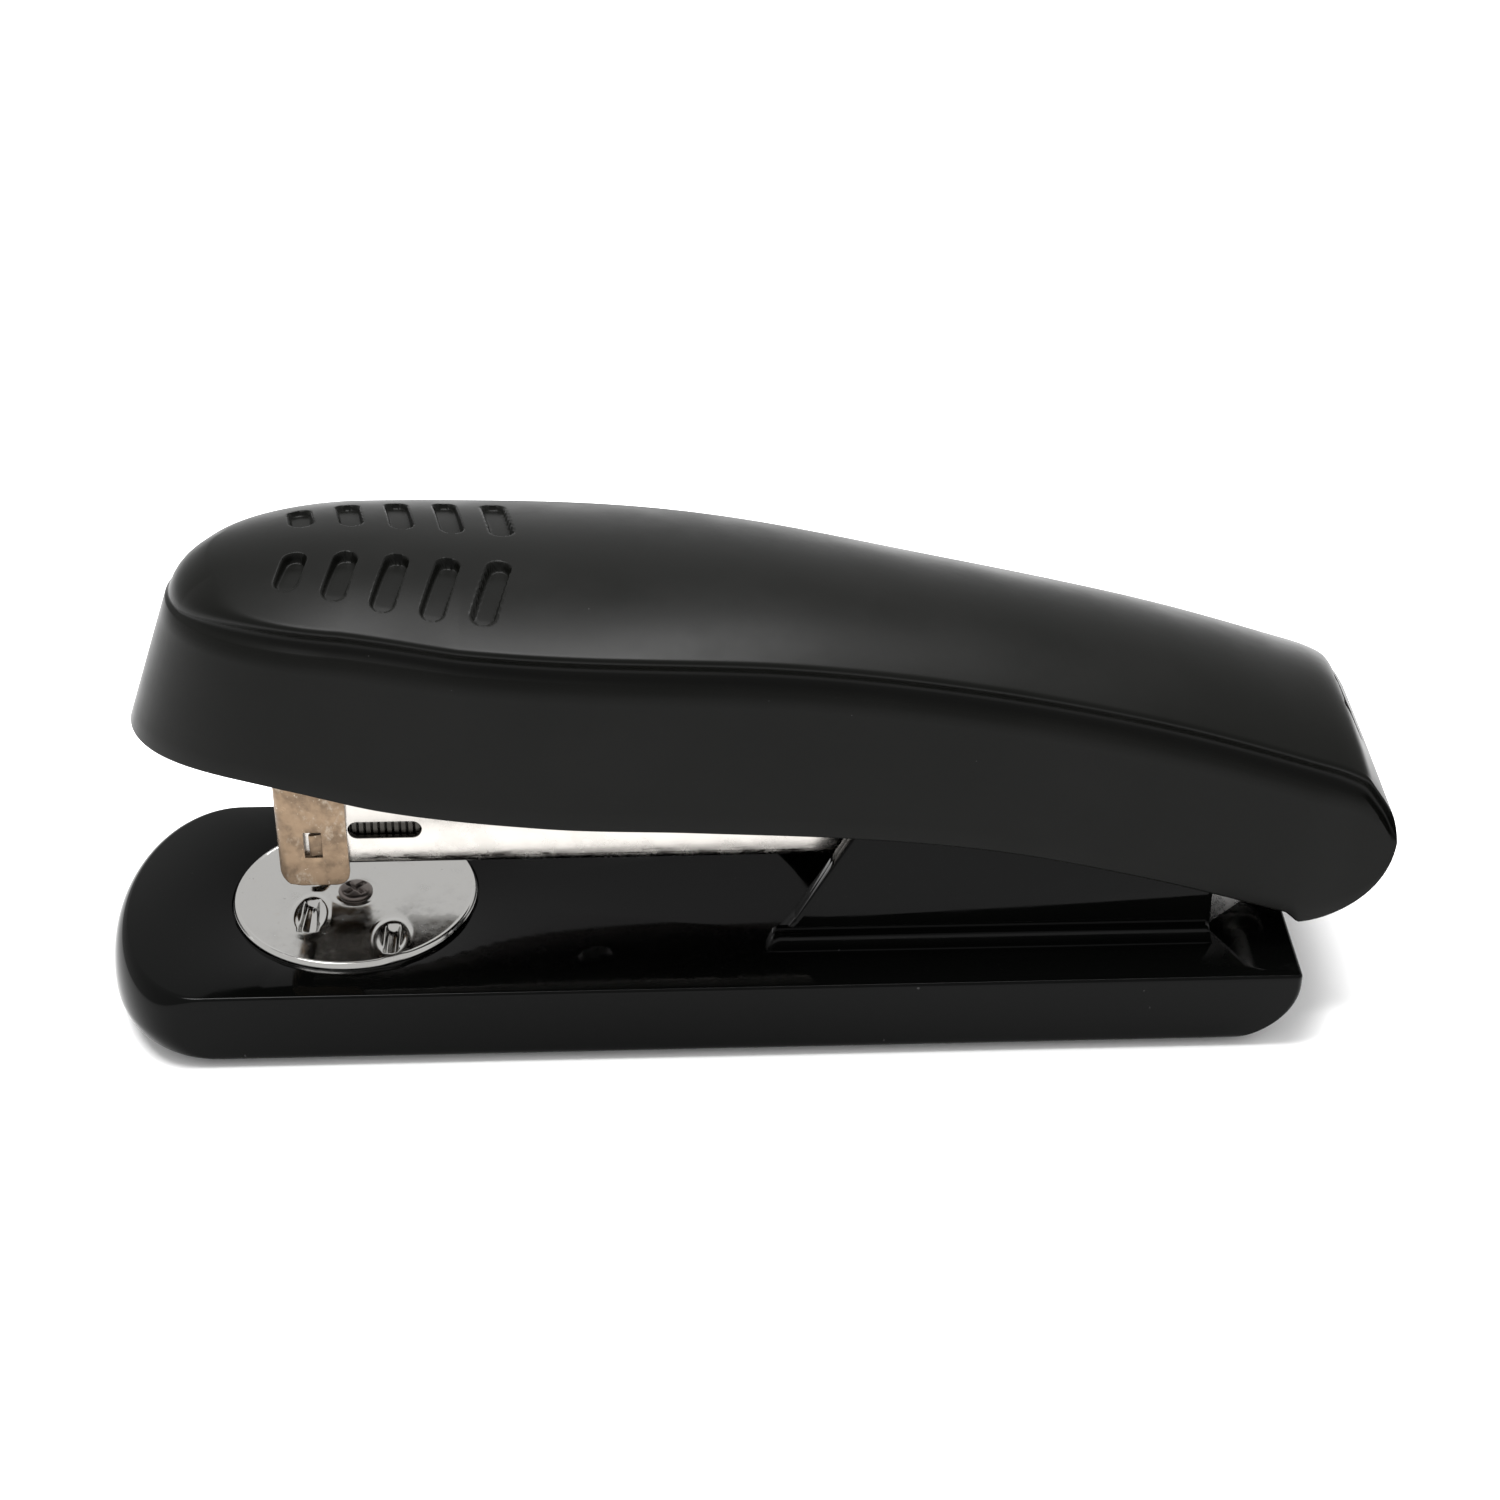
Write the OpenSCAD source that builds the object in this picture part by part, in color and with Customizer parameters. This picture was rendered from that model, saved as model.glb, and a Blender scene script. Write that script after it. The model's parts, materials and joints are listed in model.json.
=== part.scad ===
// Desk stapler. X runs from the nose (-X) to the hinge (+X), Z is up.
// The origin is the centre of the overall box, on the surface it stands on.

/* [Base] */
// Length of the base from its nose to its square rear end
base_len = 129; // [107:0.1:155]
// Width of the base
base_w = 36.4; // [34:0.1:46]
// Height of the flat top of the base
base_h = 9.3; // [8.4:0.1:13]
// Length of the rounded end in plan
base_nose_round = 9.5; // [8:0.5:16]
// Length over which the base's rear curves up from the bottom
base_heel = 8.2; // [5:0.1:12]
// Length over which the base's nose curves in towards the bottom
base_toe = 3.4; // [2:0.1:8]
// Length over which the base's nose curves in towards the top
base_brow = 2; // [1:0.1:4]
// Rounding of the top rear edge
base_rear_round = 1.4; // [0.5:0.1:3]
// Wall of the moulded base
base_wall = 2.2; // [1.5:0.1:2.6]
// Thickness of the rubber sole
sole_t = 1.6; // [1.2:0.1:2]
// Height that the sole stands proud of the moulding
sole_proud = 0.8; // [0.4:0.1:1]
// Margin between the sole and the flat underside's edge
sole_margin = 1.5; // [0.4:0.1:2]

/* [Pedestal] */
// Thickness of each cheek behind its front post
cheek_t = 1.75; // [1.2:0.05:1.9]
// Thickness of each cheek's thick front post
cheek_post_t = 3.2; // [2:0.1:3.4]
// Length of the pedestal along the base
pedestal_len = 47.4; // [40:0.1:50]
// Distance from the hinge axis forward to the pedestal's rear end
pedestal_setback = 8.6; // [8:0.1:10]
// Height of the cheeks above the base top at their front
cheek_rise = 16.6; // [12:0.1:17]
// Height of the cheeks above the base top at their rear
cheek_rear_rise = 11; // [8:0.1:12]
// Backward lean of the cheeks' front edge
cheek_lean = 10.5; // [4:0.5:12]
// Step of the plinth outside the cheeks
plinth_step = 1.1; // [0.5:0.1:2.5]
// Height of the plinth above the base top
plinth_rise = 2.1; // [1:0.1:2.5]

/* [Hinge] */
// Diameter of the hinge pin
pin_d = 4; // [3:0.1:4.6]
// Height of the pin's axis above the base top
hinge_rise = 13.2; // [12.6:0.1:14.5]
// Distance from the pin's axis back to the base's rear end
hinge_inset = 0.4; // [0:0.1:3]
// Radial clearance of a bore that turns on the pin
pin_clear = 0.05; // [0.02:0.01:0.1]
// Diameter of the pin's head and of its clip
pin_head_d = 6.6; // [6:0.1:8]
// Thickness of the pin's head and of its clip
pin_head_t = 0.6; // [0.4:0.1:1]
// Sheet thickness of the hinge bracket
bracket_t = 0.8; // [0.6:0.05:1]
// Side gap between two plates that turn past each other
side_gap = 0.1; // [0.05:0.01:0.15]

/* [Anvil] */
// Distance from the base's nose to the anvil's centre
anvil_setback = 26.8; // [22:0.1:32]
// Diameter of the anvil plate
anvil_d = 26.8; // [24:0.1:29]
// Thickness of the anvil plate
anvil_t = 1.2; // [1:0.1:1.6]
// Height that the anvil plate stands above the base top
anvil_proud = 0.5; // [0.3:0.1:0.8]
// Radial gap around the anvil plate
anvil_gap = 0.2; // [0.1:0.05:0.5]
// Depth of the staple-forming pockets
pocket_deep = 0.45; // [0.2:0.05:0.6]
// Diameter of the anvil's pivot post
post_d = 3; // [2.4:0.1:3.6]
// Diameter of the post's head
post_head_d = 3.8; // [3.4:0.1:5]
// Diameter of the push button under the post
button_d = 8; // [6:0.1:10]

/* [Magazine] */
// Height of the staple channel
channel_h = 11; // [10:0.1:12]
// Sheet thickness of the channel
channel_t = 0.7; // [0.5:0.05:0.75]
// Height of the channel's underside above the base top
channel_rise = 9.1; // [8.7:0.1:9.4]
// Distance from the anvil's centre forward to the channel's front edge
channel_reach = 5.1; // [4.5:0.1:6]
// Length of the nose guide along the channel
guide_len = 7.5; // [6:0.1:9]
// Sheet thickness of the nose guide
guide_t = 0.6; // [0.4:0.05:0.8]
// Height of the nose guide
guide_h = 12.5; // [10:0.1:12.6]
// Drop of the nose guide below the channel's underside
guide_drop = 2; // [1:0.1:2.2]
// Length of the window in the channel's side
window_len = 7.8; // [5:0.1:12]
// Height of the window in the channel's side
window_h = 2; // [1.5:0.1:3]
// Height of the staple rail
rail_h = 6.2; // [5.8:0.1:6.4]
// Sheet thickness of the staple rail
rail_t = 0.7; // [0.5:0.05:0.8]
// Diameter of the pusher's guide rod
rod_d = 2; // [1.6:0.1:2.4]

/* [Staples] */
// Width over a staple's crown
staple_w = 12.7; // [12.6:0.05:12.8]
// Height of a staple
staple_h = 6.6; // [6.4:0.05:6.8]
// Thickness of the staple wire
wire_t = 0.5; // [0.4:0.05:0.5]
// Pitch of the staples along the strip
staple_pitch = 0.75; // [0.7:0.01:0.8]
// Number of staples in the strip
staple_count = 50; // [20:1:50]
// Length of the pusher
pusher_len = 10; // [6:0.5:14]

/* [Handle] */
// Distance of the handle's nose behind the base's nose
handle_setback = 5; // [2:0.1:10]
// Extra width of the handle at its widest place
handle_bulge = 7.4; // [3:0.1:8]
// Distance from the hinge axis to the widest place
bulge_reach = 76; // [65:0.5:92]
// Wall of the handle's side skirts
skirt_t = 1.5; // [1:0.1:1.6]
// Wall of the handle's top
top_t = 1.8; // [1.6:0.1:2.2]
// Height of the crown across the handle's top
crown = 3.1; // [1:0.1:3.5]
// Radius of the handle's rear lobes about the hinge axis
lobe_r = 10; // [9:0.1:10.5]
// Height of the crease over the hinge axis at the nose
nose_crease = 29.2; // [27:0.1:32]
// Height of the crease over the hinge axis above the lobe
rear_crease = 10.9; // [10.5:0.1:12]
// Length of the rounded nose in plan
handle_nose_round = 18; // [12:0.5:24]
// Depth of the groove below the crease
groove_deep = 0.55; // [0.2:0.05:0.7]
// Height of the groove below the crease
groove_h = 3; // [2:0.1:5]
// Sheet thickness of the steel lever
lever_t = 0.8; // [0.6:0.05:1]
// Thickness of the driver blade
blade_t = 0.6; // [0.4:0.05:0.7]
// Angle that drives a staple out
press_angle = 5.2; // [4.5:0.1:5.4]

/* [Finger grip] */
// Number of slots in each row
slot_count = 5; // [2:1:5]
// Pitch of the slots
slot_pitch = 5.15; // [4.4:0.05:5.5]
// Width of a slot
slot_w = 2.5; // [1.5:0.1:3.2]
// Depth of a slot
slot_deep = 0.9; // [0.4:0.1:1]
// Length of the front slot
slot_first = 5.7; // [4:0.1:6.5]
// Length of the rear slot
slot_last = 9.9; // [7:0.1:10.5]
// Distance from the middle to each row's inner end
slot_inner = 2.7; // [1.8:0.1:3]

/* [Hidden] */
$fn = 48;
eps = 0.02;
seat_gap = 0.05;
total_len = base_len - hinge_inset + lobe_r;
nose_x = -total_len / 2;
base_rear_x = nose_x + base_len;
hinge_x = base_rear_x - hinge_inset;
hinge_z = base_h + hinge_rise;
anvil_x = nose_x + anvil_setback;
anvil_top = base_h + anvil_proud;

// Pedestal
ped_rear_x = hinge_x - pedestal_setback;
ped_front_x = ped_rear_x - pedestal_len;

// Plates across the hinge, from the middle outward
staple_play = 0.15;
channel_y = staple_w / 2 + staple_play + channel_t;
lever_y = channel_y + side_gap + lever_t;
bracket_y = lever_y + side_gap + bracket_t;
cheek_gap = 0.15;
cheek_out = bracket_y + cheek_gap + cheek_t;
plinth_y = cheek_out + plinth_step;
bore_r = pin_d / 2 + pin_clear;
ear_r = 4.1;

// Magazine
channel_x = anvil_x - channel_reach;
channel_z = base_h + channel_rise;
channel_top = channel_z + channel_h;
blade_gap = 0.3;
guide_x = channel_x - blade_gap - blade_t - blade_gap - guide_t;
guide_y = channel_y + seat_gap + guide_t;
guide_z = channel_z - guide_drop;
rail_x = channel_x;
rail_z = channel_z + channel_t;
rail_setback = 12;
rail_play = 0.2;
rail_w = staple_w - 2 * (wire_t + rail_play);
rail_end_x = hinge_x - rail_setback;
rod_z = rail_z + rail_h / 2;
rod_slot_w = 3.2;
strip_x = channel_x;
strip_len = staple_pitch * staple_count;
strip_z = rail_z + rail_h + seat_gap + wire_t;
pusher_x = strip_x + strip_len + 0.1;
spring_wire = 0.5;
stop_t = 3;
spring_end_x = rail_end_x - stop_t - 1;

// Handle, with heights measured from the hinge axis
handle_nose_x = nose_x + handle_setback;
handle_reach = hinge_x - handle_nose_x;
skirt_gap = 0.3;
half_w = cheek_out + skirt_gap + skirt_t;
blade_w = staple_w - 2 * staple_play;
nose_slope = 0.35;
lip_rise = 11.2;
bulge_spread = 28;
skirt_draft = 0.3;
lever_rear_rise = 8.7;
lever_front_rise = 18.5;
lever_ahead = 3;
lever_flat = 14;
lever_slope_end = 9;
lever_z = hinge_z + lever_rear_rise;
lever_front_z = hinge_z + lever_front_rise;
lever_x = channel_x - lever_ahead;
lever_bend_x = lever_x + lever_flat;
lever_end_x = hinge_x - lever_slope_end;

// Smooth curve through points that rise in their first value
function knot(p, i) = p[max(0, min(len(p) - 1, i))];
function slope(p, i) = (knot(p, i + 1)[1] - knot(p, i - 1)[1]) / (knot(p, i + 1)[0] - knot(p, i - 1)[0]);
function span(p, v, i = 0) = (i >= len(p) - 2 || v < p[i + 1][0]) ? i : span(p, v, i + 1);
function hermite(a, b, ma, mb, t) =
    (2 * t * t * t - 3 * t * t + 1) * a + (t * t * t - 2 * t * t + t) * ma
    + (3 * t * t - 2 * t * t * t) * b + (t * t * t - t * t) * mb;
function through(p, v, i) =
    let (w = p[i + 1][0] - p[i][0])
    hermite(p[i][1], p[i + 1][1], slope(p, i) * w, slope(p, i + 1) * w, (v - p[i][0]) / w);
function smooth(p, v) = through(p, max(p[0][0], min(p[len(p) - 1][0], v)), span(p, v));

// Crease and skirt edge of the handle: share of the reach ahead of the hinge, height over the axis
crease_line = [
    [-0.042, rear_crease - 2.2], [0, rear_crease], [0.13, rear_crease + 5.2], [0.30, rear_crease + 10.3],
    [0.48, rear_crease + 14.4], [0.70, rear_crease + 16.7], [0.86, nose_crease - 0.3], [1, nose_crease]
];
skirt_line = [
    [0, -lobe_r], [0.13, -3.9], [0.28, 0.7], [0.52, 5.3], [0.65, 6.6], [0.78, 8.1],
    [0.89, lip_rise - 0.3], [1, lip_rise]
];
function reach_share(x) = (hinge_x - x) / handle_reach;
function crease_z(x) = hinge_z + smooth(crease_line, reach_share(x));
function skirt_z(x) = hinge_z + smooth(skirt_line, reach_share(x));

// Half width of the handle at its crease, before the nose rounds it off
function side_y(x) = half_w + handle_bulge / 2 * exp(-pow((hinge_x - bulge_reach - x) / bulge_spread, 2));

// A swept tube of a given number of sides along a path of points
function unit(v) = v / norm(v);
function ring(path, i, r, sides, up) =
    let (
        a = path[max(0, i - 1)],
        b = path[min(len(path) - 1, i + 1)],
        t = unit(b - a),
        u = unit(cross(up, t)),
        w = cross(t, u)
    )
    [for (k = [0:sides - 1]) path[i] + r * (cos(360 * k / sides) * u + sin(360 * k / sides) * w)];
// A closed skin over rings that all have the same number of points, each turning from Y towards Z
module skin(rings) {
    n = len(rings[0]);
    last = len(rings) - 1;
    ones = [for (k = [1:n]) 1];
    ends = [ones * rings[0] / n, ones * rings[last] / n];
    points = concat([for (q = rings) each q], ends);
    walls = [
        for (i = [0:last - 1], k = [0:n - 1])
        let (a = i * n + k, b = i * n + (k + 1) % n)
        each [[a, b + n, b], [a, a + n, b + n]]
    ];
    start = [for (k = [0:n - 1]) [k, (k + 1) % n, len(points) - 2]];
    end = [for (k = [0:n - 1]) [last * n + (k + 1) % n, last * n + k, len(points) - 1]];
    polyhedron(points, concat(start, walls, end), convexity = 8);
}
module tube_along(path, r, sides, up) {
    skin([for (i = [0:len(path) - 1]) ring(path, i, r, sides, up)]);
}

// A solid that lies in the XZ plane's outline and is w wide about the middle
module across(w) {
    rotate([90, 0, 0]) linear_extrude(height = w, center = true) children();
}
// Two mirrored plates whose outer faces are at y and whose thickness is t
module plates(y, t) {
    for (s = [-1, 1]) translate([0, s * (y - t / 2), 0]) across(t) children();
}
// A round bar or bore along Y through the hinge axis
module on_hinge(r, w) {
    translate([hinge_x, 0, hinge_z]) rotate([90, 0, 0]) cylinder(h = w, r = r, center = true);
}
// A strip of sheet of thickness t below the line through the points
module strip_profile(points, t) {
    n = len(points);
    polygon(concat(points, [for (i = [n - 1:-1:0]) points[i] - [0, t]]));
}
module slot2d(length, width) {
    square([length - width, width], center = true);
    for (s = [-1, 1]) translate([s * (length - width) / 2, 0]) circle(d = width);
}

// Base ------------------------------------------------------------------
// Height of the nose's foremost line, as a share of the base's height
nose_waist = 0.5;
module base_plan(inset) {
    w = base_w / 2 - inset;
    r = base_nose_round - inset;
    tip = nose_x + inset;
    steps = 16;
    arc = [for (i = [-steps:steps]) [tip + r * (1 - cos(90 * i / steps)), w * sin(90 * i / steps)]];
    polygon(concat([[base_rear_x - inset, -w]], arc, [[base_rear_x - inset, w]]));
}
module base_profile(inset) {
    low = sole_proud + inset;
    high = base_h - inset;
    front = nose_x + inset;
    rear = base_rear_x - inset;
    r = base_rear_round;
    steps = 10;
    lift = high - low - r;
    under = (high - low) * nose_waist;
    waist = low + under;
    under_front = [
        for (i = [0:steps])
        [front + base_toe * (1 - sin(90 * i / steps)), low + under * (1 - cos(90 * i / steps))]
    ];
    over_front = [
        for (i = [1:steps])
        [front + base_brow * (1 - cos(90 * i / steps)), waist + (high - waist) * sin(90 * i / steps)]
    ];
    under_rear = [
        for (i = [steps:-1:0])
        [rear - base_heel * (1 - sin(90 * i / steps)), low + lift * (1 - cos(90 * i / steps))]
    ];
    top_rear = [for (i = [1:4]) [rear - r * (1 - cos(22.5 * i)), high - r * (1 - sin(22.5 * i))]];
    polygon(concat([for (i = [steps - 1:-1:0]) over_front[i]], [for (i = [steps:-1:0]) under_front[i]],
        [for (i = [steps:-1:0]) under_rear[i]], top_rear));
}
module base_body(inset) {
    intersection() {
        translate([0, 0, -1]) linear_extrude(height = base_h + 2) base_plan(inset);
        across(base_w + 2) base_profile(inset);
    }
}
module cheek_profile() {
    top = base_h + cheek_rise;
    polygon([
        [ped_front_x, base_h - eps],
        [ped_front_x + 2.6, base_h + 3.4],
        [ped_front_x + cheek_lean - 1, top - 1],
        [ped_front_x + cheek_lean + 1.5, top],
        [ped_front_x + cheek_lean + 12, top],
        [ped_rear_x - 3, base_h + cheek_rear_rise],
        [ped_rear_x, base_h + cheek_rear_rise - 4],
        [ped_rear_x, base_h - eps]
    ]);
}
module cheeks() {
    plates(cheek_out, cheek_t) cheek_profile();
    plates(cheek_out, cheek_post_t) intersection() {
        cheek_profile();
        translate([ped_front_x, 0]) square([cheek_lean + 2, hinge_z + cheek_rise]);
    }
}
module plinth() {
    channel = 2 * bracket_y + 2 * side_gap;
    difference() {
        translate([ped_front_x, -plinth_y, base_h - eps])
            cube([pedestal_len, 2 * plinth_y, plinth_rise + eps]);
        translate([ped_front_x - 1, -channel / 2, base_h])
            cube([pedestal_len + 2, channel, plinth_rise + 1]);
    }
}
rib_t = 1.2;
rib_pitch = 13;
rib_y = 5.85;
module ribs() {
    for (x = [anvil_x - rib_pitch:rib_pitch:base_rear_x - rib_pitch / 2]) if (abs(x - anvil_x) > 1)
        translate([x - rib_t / 2, -base_w / 2, 0]) cube([rib_t, base_w, base_h]);
    for (s = [-1, 1]) translate([nose_x, s * rib_y - rib_t / 2, 0]) cube([base_len, rib_t, base_h]);
}
screw_inset = 6;
screw_pitch = 18;
screw_x = [ped_rear_x - screw_inset - screw_pitch, ped_rear_x - screw_inset];
screw_r = 1.5;
screw_deep = 5.5;
boss_wall = 1.9;
post_bore_r = post_d / 2 + 0.08;
post_wall = 2.4;
button_gap = 0.4;
module base_shell() {
    cavity_z = sole_proud + sole_t;
    color([0.03, 0.03, 0.035]) difference() {
        union() {
            base_body(0);
            cheeks();
            plinth();
        }
        difference() {
            base_body(base_wall);
            translate([anvil_x, 0, 0]) cylinder(h = base_h, r = post_d / 2 + post_wall);
            for (x = screw_x) translate([x, 0, 0]) cylinder(h = base_h, r = screw_r + boss_wall);
            ribs();
        }
        sole_blank(0.1, -1, cavity_z);
        translate([anvil_x, 0, cavity_z - 1])
            cylinder(h = base_h - base_wall - cavity_z + 1, r = button_d / 2 + button_gap);
        translate([anvil_x, 0, 0]) cylinder(h = base_h + 1, r = post_bore_r);
        translate([anvil_x, 0, anvil_top - anvil_t]) cylinder(h = 5, r = anvil_d / 2 + anvil_gap, $fn = 96);
        for (x = screw_x) translate([x, 0, base_h - screw_deep]) cylinder(h = screw_deep + 1, r = screw_r);
    }
}
module sole_blank(grow, z, top) {
    front = nose_x + base_toe + sole_margin - grow;
    rear = base_rear_x - base_heel - sole_margin + grow;
    w = base_w - 2 * sole_margin + 2 * grow;
    corner = 8;
    translate([0, 0, z]) linear_extrude(height = top - z) {
        translate([front + corner, -w / 2]) square([rear - front - 2 * corner, w]);
        translate([front, -w / 2 + corner]) square([rear - front, w - 2 * corner]);
        for (x = [front + corner, rear - corner], y = [-w / 2 + corner, w / 2 - corner])
            translate([x, y]) circle(r = corner);
    }
}
module base_sole() {
    groove = [1, 24, 0.3];
    groove_pitch = 8;
    groove_ahead = 16;
    color([0.06, 0.06, 0.06]) difference() {
        sole_blank(0, 0, sole_proud + sole_t - seat_gap);
        translate([anvil_x, 0, -1]) cylinder(h = base_h, r = button_d / 2 + 0.6);
        for (i = [0:7]) translate([anvil_x + groove_ahead + groove_pitch * i, -groove[1] / 2, -1])
            cube([groove[0], groove[1], 1 + groove[2]]);
    }
}

// Hinge bracket ----------------------------------------------------------
module hinge_bracket() {
    floor_z = base_h + eps;
    foot_rear = ped_rear_x - 0.4;
    foot_len = 29.6;
    foot_front = foot_rear - foot_len;
    ear_foot = 14;
    color([0.72, 0.72, 0.7]) difference() {
        union() {
            translate([foot_front, -bracket_y, floor_z])
                cube([foot_rear - foot_front, 2 * bracket_y, bracket_t]);
            plates(bracket_y, bracket_t) union() {
                polygon([
                    [foot_rear - ear_foot, floor_z],
                    [foot_rear, floor_z],
                    [hinge_x + ear_r * 0.6, hinge_z - ear_r * 0.8],
                    [hinge_x, hinge_z + ear_r],
                    [hinge_x - ear_r * 0.8, hinge_z + ear_r * 0.6]
                ]);
                translate([hinge_x, hinge_z]) circle(r = ear_r);
            }
        }
        on_hinge(bore_r, base_w);
        for (x = screw_x) translate([x, 0, 0]) cylinder(h = hinge_z, r = screw_r + 0.2);
    }
}
// A cross recess of a given span and blade width, cut down from above z
module cross_recess(span, blade, z, turn = 0) {
    for (a = [turn, turn + 90]) rotate(a) translate([-span / 2, -blade / 2, z]) cube([span, blade, 2]);
}
module bracket_screws() {
    head_z = base_h + bracket_t + 2 * eps;
    head_t = 1.3;
    color([0.55, 0.55, 0.56]) for (x = screw_x) translate([x, 0, 0]) difference() {
        union() {
            translate([0, 0, base_h - screw_deep + 0.2])
                cylinder(h = screw_deep + bracket_t, r = screw_r - 0.03);
            translate([0, 0, head_z]) cylinder(h = head_t, r1 = 2.7, r2 = 2.1);
        }
        cross_recess(3, 0.6, head_z + head_t / 2);
    }
}
module hinge_pin() {
    face = bracket_y + 0.03;
    tail = 1.2;
    color([0.7, 0.7, 0.72]) {
        on_hinge(pin_d / 2, 2 * (face + tail));
        translate([hinge_x, -face, hinge_z]) rotate([90, 0, 0]) cylinder(h = pin_head_t, d = pin_head_d);
    }
}
module pin_clip() {
    face = bracket_y + seat_gap;
    color([0.35, 0.35, 0.36]) translate([hinge_x, face, hinge_z]) rotate([-90, 0, 0]) difference() {
        cylinder(h = pin_head_t, d = pin_head_d);
        translate([0, 0, -1]) cylinder(h = pin_head_t + 2, r = pin_d / 2 + 0.02);
        translate([0, -pin_d * 0.35, -1]) cube([pin_head_d, pin_d * 0.7, pin_head_t + 2]);
    }
}
module magazine_spring() {
    t = 0.4;
    w = 8;
    z = base_h + bracket_t + seat_gap + t;
    back = screw_x[0] - 2.9;
    tip = ped_front_x + 8;
    color([0.6, 0.6, 0.58]) across(w) strip_profile([
        [tip, channel_z - 0.4],
        [tip + 3, channel_z - 0.06],
        [tip + 6, channel_z - 0.5],
        [back - 5, z + 0.8],
        [back - 1.5, z],
        [back, z]
    ], t);
}

// Anvil -------------------------------------------------------------------
button_z = 0.5;
button_top = button_z + sole_proud + 1.5;
module anvil_post() {
    low = button_top;
    head_t = 0.6;
    color([0.3, 0.3, 0.31]) translate([anvil_x, 0, 0]) difference() {
        union() {
            translate([0, 0, low]) cylinder(h = anvil_top - low + 0.1, r = post_d / 2);
            translate([0, 0, anvil_top + 0.03])
                cylinder(h = head_t, d1 = post_head_d, d2 = post_head_d - 0.8);
        }
        cross_recess(2.2, 0.44, anvil_top + 0.25, 45);
    }
}
module anvil_button() {
    dish_r = 10;
    dish_deep = 0.4;
    color([0.2, 0.2, 0.2]) translate([anvil_x, 0, button_z]) difference() {
        cylinder(h = button_top - button_z, d = button_d);
        translate([0, 0, dish_deep - dish_r]) sphere(r = dish_r, $fn = 64);
    }
}
module anvil_spring() {
    low = button_top + 0.1;
    high = base_h - base_wall - 0.1;
    turns = 3;
    wire_r = 0.25;
    coil_r = post_d / 2 + wire_r + 0.3;
    steps = 14 * turns;
    path = [
        for (i = [0:steps])
        [anvil_x + coil_r * cos(360 * turns * i / steps), coil_r * sin(360 * turns * i / steps),
            low + wire_r + (high - low - 2 * wire_r) * i / steps]
    ];
    color([0.75, 0.75, 0.77]) tube_along(path, wire_r, 6, [0, 0, 1]);
}
pocket_x = 4.6;
pocket_w = 2.6;
rim_w = 0.5;
rim_rise = 0.2;
// Inner and outer end of the pockets that fold a staple's legs in, and of those that fold them out
clinch = [1.3, 7.6];
pinning = [6.1, 11.6];
// The two mirrored pockets of a pair, from z upward, grown by an allowance all round
module pockets(x, ends, grow, z, h) {
    for (s = [-1, 1]) translate([x, s * (ends[0] + ends[1]) / 2, z])
        linear_extrude(height = h) rotate(90) slot2d(ends[1] - ends[0] + 2 * grow, pocket_w + 2 * grow);
}
module anvil_plate() {
    low = anvil_top - anvil_t + 0.03;
    color([0.8, 0.8, 0.83]) translate([anvil_x, 0, 0]) difference() {
        union() {
            translate([0, 0, low]) cylinder(h = anvil_top - low, r = anvil_d / 2, $fn = 96);
            pockets(-pocket_x, clinch, rim_w, anvil_top - eps, rim_rise + eps);
            pockets(pocket_x, pinning, rim_w, anvil_top - eps, rim_rise + eps);
        }
        pockets(-pocket_x, clinch, 0, anvil_top - pocket_deep, 3);
        pockets(pocket_x, pinning, 0, anvil_top - pocket_deep, 3);
        cylinder(h = hinge_z, r = post_bore_r);
    }
}

// Magazine ----------------------------------------------------------------
module channel_profile() {
    difference() {
        union() {
            polygon([
                [channel_x, channel_z],
                [hinge_x, channel_z],
                [hinge_x + ear_r, hinge_z],
                [hinge_x, hinge_z + ear_r],
                [hinge_x - 9, channel_top],
                [channel_x, channel_top]
            ]);
            translate([hinge_x, hinge_z]) circle(r = ear_r);
        }
        window_x = channel_x + guide_len - 1.7;
        window_rise = 4.6;
        translate([window_x + window_len / 2, channel_z + window_rise]) slot2d(window_len, window_h);
    }
}
rivet_setback = [30, 8];
rivet_x = [channel_x + rivet_setback[0], rail_end_x - rivet_setback[1]];
rivet_r = 1.1;
module staple_channel() {
    floor_end_x = rail_end_x + 3;
    color([0.8, 0.8, 0.82]) difference() {
        union() {
            plates(channel_y, channel_t) channel_profile();
            translate([channel_x, -channel_y + eps, channel_z])
                cube([floor_end_x - channel_x, 2 * (channel_y - eps), channel_t]);
        }
        on_hinge(bore_r, base_w);
        for (x = rivet_x) translate([x, 0, channel_z - 1]) cylinder(h = channel_t + 2, r = rivet_r + 0.05);
    }
}
module guide_side() {
    r = 1.6;
    translate([guide_x, guide_z + r]) square([guide_len, guide_h - r]);
    translate([guide_x + r, guide_z]) square([guide_len - 2 * r, 2 * r]);
    for (x = [guide_x + r, guide_x + guide_len - r]) translate([x, guide_z + r]) circle(r = r);
}
module nose_guide() {
    inner = 2 * (channel_y + seat_gap);
    tab = [1.6, 0.7, 3.2];
    tab_rise = 5.2;
    color([0.55, 0.46, 0.34]) difference() {
        union() {
            across(2 * guide_y) guide_side();
            for (s = [-1, 1]) translate([guide_x + guide_len / 2, s * guide_y, guide_z + tab_rise])
                cube(tab, center = true);
        }
        translate([guide_x + guide_t, -inner / 2, guide_z - 1]) cube([guide_len, inner, guide_h + 2]);
    }
}
module rail_shape(w, h) {
    translate([rail_x, -w / 2, rail_z]) cube([rail_end_x - rail_x, w, h]);
}
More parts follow.
